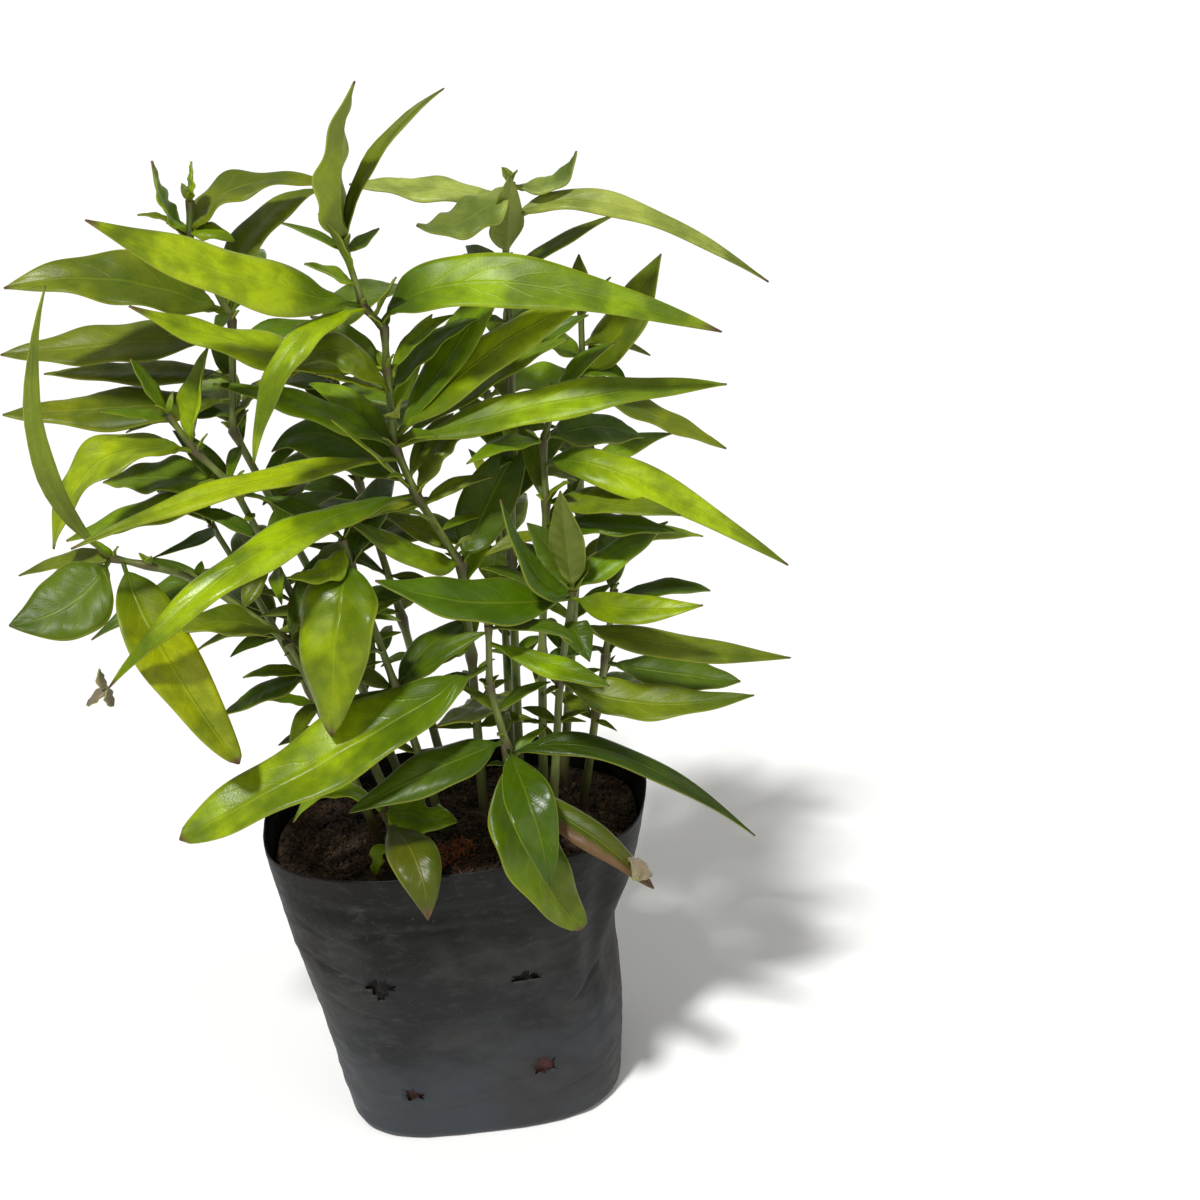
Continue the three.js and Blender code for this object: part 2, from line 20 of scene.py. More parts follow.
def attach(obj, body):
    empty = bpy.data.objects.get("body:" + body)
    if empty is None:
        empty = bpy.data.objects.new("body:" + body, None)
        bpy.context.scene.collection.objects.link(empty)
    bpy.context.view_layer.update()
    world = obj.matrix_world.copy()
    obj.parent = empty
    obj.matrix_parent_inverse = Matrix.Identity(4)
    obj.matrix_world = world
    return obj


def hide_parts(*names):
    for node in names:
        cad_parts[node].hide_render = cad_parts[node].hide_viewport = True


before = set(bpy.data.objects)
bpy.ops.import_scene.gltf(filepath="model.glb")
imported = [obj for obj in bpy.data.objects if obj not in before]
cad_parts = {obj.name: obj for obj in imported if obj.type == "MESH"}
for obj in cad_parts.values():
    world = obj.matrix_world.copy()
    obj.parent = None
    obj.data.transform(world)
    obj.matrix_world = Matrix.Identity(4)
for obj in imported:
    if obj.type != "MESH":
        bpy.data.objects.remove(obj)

log = logging.getLogger("potted_herb")

MM = 0.001
PER_CM2 = 1e4
FULL_TURN = 2 * math.pi
BODY = "root"
UP = Vector((0.0, 0.0, 1.0))
Span = tuple[float, float]
Point = tuple[float, float, float]
Colour = tuple[float, float, float]
Socket = bpy.types.NodeSocket
Material = bpy.types.Material
Object = bpy.types.Object
Array = np.ndarray


class Tone(Enum):
    """Colour of a leaf's upper face: partly its own colour and partly painted light and shade,
    since each leaf's tone is matched to how lit it is.
    """

    FRESH = (0.170, 0.270, 0.001)
    BRIGHT = (0.290, 0.395, 0.002)
    YOUNG = (0.290, 0.340, 0.060)
    # A deep green that also paints the shade on leaves deep inside the plant.
    DEEP_GREEN_AND_SHADE = (0.060, 0.110, 0.001)
    # Painted shade: near black, for leaves that lie in deep shade.
    SHADED = (0.020, 0.032, 0.001)
    OLIVE = (0.155, 0.195, 0.005)
    UNRIPE = (0.085, 0.145, 0.001)
    OLD = (0.300, 0.370, 0.001)
    DYING = (0.066, 0.072, 0.003)
    HUSK = (0.230, 0.180, 0.120)


@dataclass
class Draw:
    """Numbers from 0 to 1 that follow each other alike on every run."""

    state: int
    factor: int = 16807
    modulus: int = 2147483647

    def next(self) -> float:
        """The next number."""
        self.state = (self.state * self.factor) % self.modulus
        return self.state / self.modulus

    def between(self, low: float, high: float) -> float:
        """The next number, spread from low to high."""
        return low + (high - low) * self.next()


def arched(root: Vector, tip: Vector, place: float, rise: float) -> Point:
    """The point that a midrib bends towards, raised above a place on its way."""
    return tuple(root.lerp(tip, place) + UP * rise)


@dataclass(frozen=True)
class Leaf:
    """One leaf: where it joins its stem, where its tip is, and how it lies.

    Args:
        joint: height of its joint on the stem.
        bow: the point that its midrib bends towards.
        tip: place of its tip.
        wide: its full width.
        face: roll of the upper face towards the front, in degrees.
        fold: how far the two halves close up along the midrib.
        tone: its colour, or None for its stem's.
        dry: part of its length that is dry, from the tip.
        gloss: from 0, dull, to 1, wet.
        bites: notches eaten into the margins, as side, place along and depth.
        blunt: from 0, a drawn-out tip, to 1, a round one.
        hook: how far its tip turns up.
        singed: from 0 to 1, how dry its front margin is.
        green: part of its length, from the root, that is a darker green, partly its own colour
            and partly painted shade where leaves above shade it.
        root: where it grows from, if that isn't its stem.
    """

    joint: float
    bow: Point
    tip: Point
    wide: float
    face: float = 15
    fold: float = 0.25
    tone: Tone | None = None
    dry: float = 0.03
    gloss: float = 0.3
    bites: tuple[tuple[int, float, float], ...] = ()
    blunt: float = 0.1
    hook: float = 0
    singed: float = 0
    green: float = 0
    root: Point | None = None


@dataclass(frozen=True)
class Pairs:
    """Opposite pairs of leaves, each pair a quarter turn on from the last.

    Args:
        joints: heights of the joints that bear a pair.
        heading: direction of the first leaf, in degrees from the right.
        reach: length of the longest leaf.
        wide: its width.
        seed: start of the small differences.
        stray: widest difference in heading, in degrees.
        shade_shortening: part by which a leaf that points to the front is shorter.
        bow_place: where along its way a leaf is highest.
        bow_rise: how high it then is, as a part of its length.
    """

    joints: tuple[float, ...]
    heading: float
    reach: float
    wide: float
    seed: int
    stray: float = 30
    shade_shortening: float = 0.5
    bow_place: float = 0.4
    bow_rise: float = 0.28

    def leaves(self, point_at: Callable[[float], Vector]) -> list[Leaf]:
        """Works out the leaves.

        Args:
            point_at: gives the stem's point at a height.

        Returns:
            The leaves, two for each joint.
        """
        draw = Draw(self.seed)
        found = []
        for k, joint in enumerate(self.joints):
            for half in (0, 180):
                turn = math.radians(self.heading + 90 * k + half
                                    + self.stray * (draw.next() - 0.5))
                shade = max(0.0, -math.sin(turn)) * self.shade_shortening
                length = self.reach * draw.between(0.7, 1) * (1 - shade)
                drop = length * draw.between(-0.05, 0.3)
                root = point_at(joint)
                tip = root + Vector((length * math.cos(turn), length * math.sin(turn), -drop))
                bow = arched(root, tip, self.bow_place, self.bow_rise * length)
                found.append(Leaf(joint, bow, tuple(tip), self.wide * draw.between(0.8, 1)))
        return found


@dataclass
class Sheet:
    """Vertices, faces and per-vertex values of a mesh that is being gathered."""

    verts: list[Point] = field(default_factory=list)
    faces: list[tuple[int, ...]] = field(default_factory=list)
    uvs: list[Span] = field(default_factory=list)
    values: dict[str, list[float]] = field(default_factory=dict)
    tints: list[tuple[float, float, float, float]] = field(default_factory=list)

    def grid(self, places: Array, uv: Array | None = None,
             tint: Array | None = None,
             values: dict[str, Array] | None = None) -> None:
        """Adds a grid of points with its faces, whose last column joins its first.

        Args:
            places: rows by columns by 3, in millimetres.
            uv: rows by columns by 2, or None for none.
            tint: rows by columns by 3, a colour, or None for black.
            values: named numbers, each rows by columns.
        """
        rows, columns = places.shape[:2]
        start = len(self.verts)
        uv = np.zeros((rows, columns, 2)) if uv is None else uv
        tint = np.zeros((rows, columns, 3)) if tint is None else tint
        self.verts.extend(map(tuple, (places * MM).reshape(-1, 3)))
        self.uvs.extend(map(tuple, uv.reshape(-1, 2)))
        self.tints.extend((*rgb, 1.0) for rgb in tint.reshape(-1, 3))
        for name, numbers in (values or {}).items():
            self.values.setdefault(name, []).extend(numbers.reshape(-1))
        for r in range(rows - 1):
            for c in range(columns):
                a = start + r * columns + c
                b = start + r * columns + (c + 1) % columns
                self.faces.append((a, b, b + columns, a + columns))
        self.faces.append(tuple(start + c for c in range(columns - 1, -1, -1)))
        last = start + (rows - 1) * columns
        self.faces.append(tuple(last + c for c in range(columns)))

    def object(self, name: str, material: Material) -> Object:
        """Makes the mesh object.

        Args:
            name: the piece's name.
            material: its finish.

        Returns:
            The linked object, with smooth faces.
        """
        mesh = bpy.data.meshes.new(name)
        mesh.from_pydata(self.verts, [], self.faces)
        layer = mesh.uv_layers.new(name="UVMap")
        corners = np.array([loop.vertex_index for loop in mesh.loops])
        layer.data.foreach_set("uv", np.array(self.uvs)[corners].reshape(-1))
        tint = mesh.attributes.new("tint", "FLOAT_COLOR", "POINT")
        tint.data.foreach_set("color", np.array(self.tints).reshape(-1))
        give_values(mesh, self.values)
        mesh.shade_smooth()
        mesh.materials.append(material)
        return linked(name, mesh)


def give_values(mesh: bpy.types.Mesh, values: dict[str, list[float]]) -> None:
    """Gives a mesh its named numbers, one for each vertex."""
    for key, numbers in values.items():
        mesh.attributes.new(key, "FLOAT", "POINT").data.foreach_set("value", numbers)


def linked(name: str, data: bpy.types.ID) -> Object:
    """Makes an object of a mesh, light or camera, and puts it in the scene."""
    made = bpy.data.objects.new(name, data)
    bpy.context.scene.collection.objects.link(made)
    return made


def drop_parts(mesh: bpy.types.Mesh, of: str, unwanted: Callable[[object], bool]) -> None:
    """Deletes some of a mesh's vertices or faces, in place.

    Args:
        mesh: the mesh.
        of: what is deleted, verts or faces.
        unwanted: tells whether one of them goes.
    """
    work = bmesh.new()
    work.from_mesh(mesh)
    gone = [one for one in getattr(work, of) if unwanted(one)]
    bmesh.ops.delete(work, geom=gone, context=of.upper())
    work.to_mesh(mesh)
    work.free()


def smoothstep(low: float, high: float, value: Array) -> Array:
    """Rises smoothly from 0 at low to 1 at high."""
    part = np.clip((value - low) / (high - low), 0, 1)
    return part * part * (3 - 2 * part)


def hump(value: Array, half_width: float) -> Array:
    """A bell from 1, where the value is 0, down to 0."""
    return np.exp(-(value / half_width) ** 2)


def rough(places: Array, scale: Point, seed: float = 0) -> Array:
    """Smooth noise at many places.

    Args:
        places: points, with x, y and z last.
        scale: how often the noise turns along x, y and z.
        seed: moves the noise elsewhere.

    Returns:
        One number from about -1 to 1 for each point.
    """
    flat = places.reshape(-1, 3) * np.array(scale) + seed
    found = np.array([noise.noise(Vector(place)) for place in flat])
    return found.reshape(places.shape[:-1])


def spline(values: Sequence[float], level: Array) -> Array:
    """A smooth curve through evenly spaced values.

    Args:
        values: the values, first at level 0 and last at level 1.
        level: where to read the curve.

    Returns:
        The curve's value at each level.
    """
    held = np.array([values[0], *values, values[-1]], float)
    place = np.clip(level, 0, 1) * (len(values) - 1)
    step = np.minimum(place.astype(int), len(values) - 2)
    t = place - step
    a, b, c, d = (held[step + i] for i in range(4))
    start, end = (c - a) / 2, (d - b) / 2
    return ((2 * b - 2 * c + start + end) * t ** 3
            + (-3 * b + 3 * c - 2 * start - end) * t ** 2 + start * t + b)


class NodeTree:
    """A node tree that is filled by short calls."""

    def __init__(self, tree: bpy.types.NodeTree, prefix: str) -> None:
        """Takes the tree that is filled.

        Args:
            tree: the tree.
            prefix: what the types of its nodes usually start with.
        """
        self.tree = tree
        self.prefix = prefix

    def node(self, kind: str, inputs: dict[str | int, object] | None = None,
             **settings: object) -> bpy.types.Node:
        """Adds a node.

        Args:
            kind: the node's type, which may leave out the tree's prefix.
            inputs: a value or an output socket for each named or numbered input.
            **settings: the node's own properties.

        Returns:
            The node.
        """
        made = self.tree.nodes.new(kind if "Node" in kind else self.prefix + kind)
        for key, value in settings.items():
            setattr(made, key, value)
        for key, value in (inputs or {}).items():
            self.feed(made.inputs[key], value)
        return made

    def feed(self, socket: Socket, value: object) -> None:
        """Links an output to a socket, or sets the socket's value."""
        if isinstance(value, Socket):
            self.tree.links.new(value, socket)
        else:
            socket.default_value = value


@dataclass(frozen=True)
class Speckle:
    """Noise on Object coordinates, and how it shows as a part from 0 to 1.

    Args:
        scale: its turns to the metre.
        low: the noise at which it starts to show.
        high: the noise at which it shows most.
        most: how much it then shows.
        detail: how many finer turns it has.
        roughness: how strong those are.
        stretch: a further scale for each axis.
    """

    scale: float
    low: float = 0.3
    high: float = 0.7
    most: float = 1
    detail: float = 3
    roughness: float = 0.55
    stretch: Point = (1, 1, 1)


class Shader(NodeTree):
    """A material's node tree."""

    def __init__(self, name: str) -> None:
        """Starts a material with one Principled surface."""
        self.material = bpy.data.materials.new(name)
        self.material.use_nodes = True
        super().__init__(self.material.node_tree, "ShaderNode")
        self.surface = self.tree.nodes["Principled BSDF"]

    def surface_is(self, **values: object) -> None:
        """Sets or links the surface's sockets, named with underscores for spaces."""
        for key, value in values.items():
            self.feed(self.surface.inputs[key.replace("_", " ")], value)

    def place(self, scale: Point = (1, 1, 1)) -> Socket:
        """Object coordinates, stretched by a scale for each axis."""
        found = self.node("TexCoord").outputs["Object"]
        return self.node("Mapping", {"Vector": found, "Scale": scale}).outputs["Vector"]

    def split(self, vector: Socket) -> Sequence[Socket]:
        """The x, y and z of a vector."""
        return self.node("SeparateXYZ", {0: vector}).outputs

    def noise(self, kind: Speckle) -> Socket:
        """A speckle's plain noise, from 0 to 1."""
        made = self.node("TexNoise", {"Vector": self.place(kind.stretch), "Scale": kind.scale,
                                      "Detail": kind.detail, "Roughness": kind.roughness})
        return made.outputs["Fac"]

    def shown(self, kind: Speckle) -> Socket:
        """The part by which a speckle shows."""
        return self.between(self.noise(kind), kind.low, kind.high, 0, kind.most)

    def value_of(self, name: str, output: str = "Fac") -> Socket:
        """A number or colour that the mesh holds for each vertex."""
        return self.node("Attribute", attribute_name=name).outputs[output]

    def maths(self, operation: str, *values: object) -> Socket:
        """One step of arithmetic."""
        return self.node("Math", dict(enumerate(values)), operation=operation).outputs[0]

    def plus(self, first: object, second: object) -> Socket:
        """Adds two numbers."""
        return self.maths("ADD", first, second)

    def minus(self, first: object, second: object) -> Socket:
        """Takes the second number from the first."""
        return self.maths("SUBTRACT", first, second)

    def times(self, first: object, second: object) -> Socket:
        """Multiplies two numbers."""
        return self.maths("MULTIPLY", first, second)

    def away(self, value: object, middle: float = 0.5) -> Socket:
        """How far a number lies from a middle, on either side."""
        return self.maths("ABSOLUTE", self.minus(value, middle))

    def between(self, value: object, low: float, high: float, to_low: float = 0,
                to_high: float = 1) -> Socket:
        """Takes a value's stretch from low to high smoothly to another stretch."""
        made = self.node("MapRange", {"Value": value, "From Min": low, "From Max": high,
                                      "To Min": to_low, "To Max": to_high},
                         interpolation_type="SMOOTHSTEP")
        return made.outputs["Result"]

    def painted(self, lowest: object, *coats: tuple[object, Colour]) -> Socket:
        """Lays coats of colour over each other.

        Args:
            lowest: the colour below all the others.
            *coats: the part of each further coat that shows, and its colour.

        Returns:
            The colour that is seen.
        """
        body = lowest
        for part, colour in coats:
            mixed = self.node("Mix", {0: part, 6: full_colour(body), 7: full_colour(colour)},
                              data_type="RGBA")
            body = mixed.outputs[2]
        return body

    def bump(self, height: object, depth: float, below: Socket | None = None) -> Socket:
        """Turns a height from 0 to 1 into a bump of a real depth."""
        inputs = {"Height": height, "Distance": depth * MM, "Strength": 1.0}
        if below is not None:
            inputs["Normal"] = below
        return self.node("Bump", inputs).outputs["Normal"]


def full_colour(value: object) -> object:
    """Adds the fourth number to a plain colour, and passes sockets on."""
    return (*value, 1.0) if isinstance(value, tuple) else value


@dataclass(frozen=True)
class LeafFinish:
    """Living leaf: fine paler veins, a grey-green underside, tips that dry brown.

    Args:
        name: the material's name.
        veins: side veins along a leaf.
        vein_wobble: noise that makes them wander.
        vein_slant: how far a side vein runs towards the tip, as a part of the length.
        vein_curve: power that bends the side veins forward.
        vein_width: where a side vein fades, as parts of the way to the next.
        midrib_width: where the midrib fades, as parts of the half width.
        margin_width: where the pale margin starts and is full, likewise.
        patch: broad darker patches.
        blotch: smaller ones.
        grain: fine ones.
        hollow: how dark the blade is between side veins.
        under, vein, margin: how far those colours show.
        crisp: dryness at which a tip starts to brown and is brown.
        dull, wet, dull_under: its roughness, what gloss takes off, and what the underside adds.
        pores: its finest relief.
    """

    name: str = "leaf"
    veins: float = 8.0
    vein_wobble: Speckle = Speckle(260)
    vein_slant: float = 0.24
    vein_curve: float = 1.3
    vein_width: Span = (0.01, 0.09)
    midrib_width: Span = (0.02, 0.075)
    margin_width: Span = (0.93, 0.99)
    patch: Speckle = Speckle(44, 0.42, 0.60, 0.62)
    blotch: Speckle = Speckle(110, 0.42, 0.66, 0.40, detail=4)
    grain: Speckle = Speckle(1400, 0.35, 0.7, 0.12, detail=2)
    hollow: float = 0.10
    under: float = 0.55
    vein: float = 0.11
    margin: float = 0.35
    crisp: Span = (0.55, 0.85)
    dull: float = 0.46
    wet: float = 0.24
    dull_under: float = 0.14
    pores: Speckle = Speckle(2400, detail=2)
    vein_colour: Colour = (0.40, 0.48, 0.02)
    shade_colour: Colour = (0.032, 0.066, 0.001)
    under_colour: Colour = (0.190, 0.225, 0.040)
    margin_colour: Colour = (0.36, 0.40, 0.03)
    dry_colour: Colour = (0.115, 0.065, 0.028)

    def material(self) -> Material:
        """Builds the leaf material from the mesh's UV map and vertex values."""
        make = Shader(self.name)
        uv = make.split(make.node("UVMap", uv_map="UVMap").outputs["UV"])
        across = make.times(make.away(uv["X"]), 2.0)
        near, veins = self.vein_pattern(make, across, uv["Y"])
        under = make.value_of("under")
        blotch = make.noise(self.blotch)
        hollow = make.between(near, 0.15, 0.5, 0, self.hollow)
        dryness = make.plus(make.value_of("dry"), make.times(blotch, 0.5))
        body = make.painted(
            make.value_of("tint", "Color"),
            (make.shown(self.patch), self.shade_colour),
            (make.shown(self.blotch), self.shade_colour),
            (make.times(hollow, make.between(across, 1.0, 0.5)), self.shade_colour),
            (make.shown(self.grain), self.shade_colour),
            (make.times(under, self.under), self.under_colour),
            (make.times(veins, self.vein), self.vein_colour),
            (make.times(make.between(across, *self.margin_width), self.margin),
             self.margin_colour),
            (make.between(dryness, *self.crisp), self.dry_colour))

        matt = make.minus(self.dull, make.times(make.value_of("gloss"), self.wet))
        matt = make.plus(matt, make.times(under, self.dull_under))
        matt = make.plus(matt, make.between(blotch, 0.3, 0.7, -0.05, 0.08))
        fine = make.bump(make.noise(self.pores), 0.05)
        quilted = make.bump(make.minus(1.0, veins), 0.14, fine)
        make.surface_is(Base_Color=body, Roughness=matt, Normal=quilted,
                        Subsurface_Weight=0.10, Subsurface_Scale=0.0012,
                        Specular_IOR_Level=0.24)
        return make.material

    def vein_pattern(self, make: Shader, across: Socket, along: Socket) -> tuple[Socket, Socket]:
        """Draws the midrib and the side veins.

        Args:
            make: the material's tree.
            across: distance from the midrib, from 0 to 1.
            along: place along the leaf, from 0 to 1.

        Returns:
            The distance from the nearest side vein, and how strongly any vein shows.
        """
        slant = make.times(make.maths("POWER", across, self.vein_curve), self.vein_slant)
        phase = make.times(make.minus(along, slant), self.veins)
        wobble = make.times(make.noise(self.vein_wobble), 0.35)
        near = make.away(make.maths("FRACT", make.plus(phase, wobble)))
        side_veins = make.times(make.between(near, *self.vein_width, 1, 0),
                                make.between(across, 0.9, 0.4))
        midrib = make.between(across, *self.midrib_width, 1, 0)
        return near, make.maths("MAXIMUM", midrib, make.times(side_veins, 0.3))


@dataclass(frozen=True)
class StemFinish:
    """Green stem, streaked lengthwise, purple-brown at its joints and corky at its foot."""

    name: str = "stem"
    streak: Speckle = Speckle(420, 0.35, 0.7, stretch=(1, 1, 0.12))
    cloud: Speckle = Speckle(70, 0.5, 0.75, 0.6)
    green: Colour = (0.080, 0.120, 0.012)
    pale: Colour = (0.165, 0.195, 0.035)
    joint_colour: Colour = (0.070, 0.038, 0.018)
    foot_colour: Colour = (0.050, 0.033, 0.016)

    def material(self) -> Material:
        """Builds the stem material from the mesh's vertex values."""
        make = Shader(self.name)
        body = make.painted(self.green,
                            (make.shown(self.streak), self.pale),
                            (make.shown(self.cloud), self.joint_colour),
                            (make.value_of("foot"), self.foot_colour),
                            (make.times(make.value_of("joint"), 0.8), self.joint_colour))
        ribbed = make.bump(make.noise(self.streak), 0.12)
        make.surface_is(Base_Color=body, Roughness=0.46, Normal=ribbed)
        return make.material


@dataclass(frozen=True)
class FilmFinish:
    """Dusty black polythene: a warm near black painted as shade under the leaves by the mouth,
    and towards the base a blue-grey that is partly dust and partly painted sheen.

    Heights and places across are in metres, each as where a coat starts and where it is full.

    Args:
        name: the material's name.
        clouds: noise that makes the heights below wander.
        wander: how far they wander.
        dust_and_sheen_ends, shade_from: heights of the blue-grey, partly dust and partly painted
            sheen, and of the near black that is painted shade.
        shade_right, shade_right_from: place across and height of the painted shade on the right.
        rubbed_right, rubbed_below: place across and height of the earth rubbed on the right.
        streaks, stain: how that earth and the earth elsewhere show.
        scuffs, left: fine scuffs, and where on the left they are strongest.
        smoke, dull_below: soft dull patches, and how they fade towards the mouth.
        specks: scattered pale specks.
        crinkles, grain: its coarse and its fine relief.
    """

    name: str = "bag_film"
    clouds: Speckle = Speckle(34, detail=6, roughness=0.62, stretch=(1, 1, 1.7))
    wander: float = 0.010
    # Painted light and shade: the blue-grey towards the base is partly dust and partly painted
    # sheen, and the near black above it is painted shade under the leaves.
    dust_and_sheen_ends: Span = (0.008, 0.046)
    shade_from: Span = (0.050, 0.072)
    shade_right: Span = (0.020, 0.046)
    shade_right_from: Span = (0.048, 0.062)
    rubbed_right: Span = (0.026, 0.038)
    rubbed_below: Span = (0.068, 0.052)
    streaks: Speckle = Speckle(60, 0.42, 0.66, detail=4, stretch=(3, 3, 0.35))
    scuffs: Speckle = Speckle(130, 0.48, 0.70, detail=7, roughness=0.72, stretch=(1, 1, 2.4))
    left: tuple[float, float, float, float] = (-0.012, -0.034, 0.45, 0.85)
    smoke: Speckle = Speckle(44, 0.42, 0.70, 0.5, detail=7, roughness=0.58, stretch=(1, 1, 1.3))
    dull_below: tuple[float, float, float, float] = (0.080, 0.060, 0.2, 1)
    stain: Speckle = Speckle(21, 0.52, 0.74, 0.5)
    specks: Speckle = Speckle(640, 0.69, 0.75, 0.5, detail=2)
    crinkles: Speckle = Speckle(75, detail=6, stretch=(1.3, 1.3, 1))
    grain: Speckle = Speckle(700)
    # The near black is painted shade, the next colour is the film between, and the blue-grey is
    # partly dust and partly painted sheen.
    shade_black: Colour = (0.0030, 0.0028, 0.0023)
    middle_film: Colour = (0.0100, 0.0102, 0.0102)
    dust_and_sheen: Colour = (0.034, 0.040, 0.047)
    scuff: Colour = (0.046, 0.046, 0.045)
    earth: Colour = (0.026, 0.015, 0.010)

    def material(self) -> Material:
        """Builds the film material."""
        make = Shader(self.name)
        place = make.split(make.place())
        across, up = place["X"], place["Z"]
        clouds = make.between(make.noise(self.clouds), 0.3, 0.7, -self.wander, self.wander)
        level = make.plus(up, clouds)
        rubbed = make.times(make.times(make.between(across, *self.rubbed_right),
                                       make.between(up, *self.rubbed_below)),
                            make.shown(self.streaks))
        scuffs = make.noise(self.scuffs)
        # Painted light and shade: blue-grey at the base, partly dust and partly painted sheen,
        # darkening up the bag to a painted shade of near black, also on the upper right.
        body = make.painted(
            self.dust_and_sheen,
            (make.between(level, *self.dust_and_sheen_ends), self.middle_film),
            (make.between(level, *self.shade_from), self.shade_black),
            (make.times(make.between(across, *self.shade_right),
                        make.between(level, *self.shade_right_from)), self.shade_black),
            (make.times(rubbed, 0.8), self.earth),
            (make.times(make.shown(self.scuffs), make.between(across, *self.left)), self.scuff),
            (make.times(make.shown(self.smoke), make.between(up, *self.dull_below)), self.scuff),
            (make.shown(self.stain), self.earth),
            (make.shown(self.specks), self.scuff))
        crinkle = make.bump(make.noise(self.crinkles), 0.7)
        fine = make.bump(make.noise(self.grain), 0.05, crinkle)
        make.surface_is(Base_Color=body, Roughness=make.between(scuffs, 0.3, 0.7, 0.44, 0.66),
                        Normal=fine, Specular_IOR_Level=0.2)
        return make.material


@dataclass(frozen=True)
class MixFinish:
    """Moist coir and peat, from near black to red-brown, and painted black as shade inside the
    bag.

    Heights are in metres, each as where a coat starts and where it is full.

    Args:
        name: the material's name.
        coarse, fine: its crumb.
        shade_behind_holes: height below which the mix seen through the bag's holes is painted
            black as shade.
        damp_below: height below which it is damp and red.
    """

    name: str
    coarse: Speckle = Speckle(150, 0.35, 0.65, detail=4)
    fine: Speckle = Speckle(900, 0.48, 0.72, 0.8)
    shade_behind_holes: tuple[float, float, float, float] = (0.072, 0.060, 0, 0.9)
    damp_below: Span = (0.036, 0.026)
    dark: Colour = (0.0090, 0.0052, 0.0026)
    brown: Colour = (0.052, 0.029, 0.012)
    red: Colour = (0.120, 0.058, 0.024)
    shade_black: Colour = (0.001, 0.001, 0.001)
    damp: Colour = (0.105, 0.038, 0.034)

    def material(self) -> Material:
        """Builds the material of the block of mix, its crumbs or its fibres."""
        make = Shader(self.name)
        up = make.split(make.place())["Z"]
        body = make.painted(self.dark,
                            (make.shown(self.coarse), self.brown),
                            (make.shown(self.fine), self.red),
                            # Painted shade: below the mouth, the mix seen through the holes is
                            # painted near black.
                            (make.between(up, *self.shade_behind_holes), self.shade_black),
                            (make.times(make.between(up, *self.damp_below), 0.75), self.damp))
        rise = make.bump(make.noise(self.fine), 0.5, make.bump(make.noise(self.coarse), 1.0))
        make.surface_is(Base_Color=body, Roughness=0.88, Normal=rise)
        return make.material


@dataclass(frozen=True)
class PlainFinish:
    """Matt finish of one colour with a faint cloud in it, for the floor."""

    name: str
    colour: Colour
    cloud: Speckle = Speckle(3, most=0.03)
    cloud_colour: Colour = (0.6, 0.6, 0.6)
    roughness: float = 0.8

    def material(self) -> Material:
        """Builds the plain material."""
        make = Shader(self.name)
        body = make.painted(self.colour, (make.shown(self.cloud), self.cloud_colour))
        make.surface_is(Base_Color=body, Roughness=self.roughness)
        return make.material


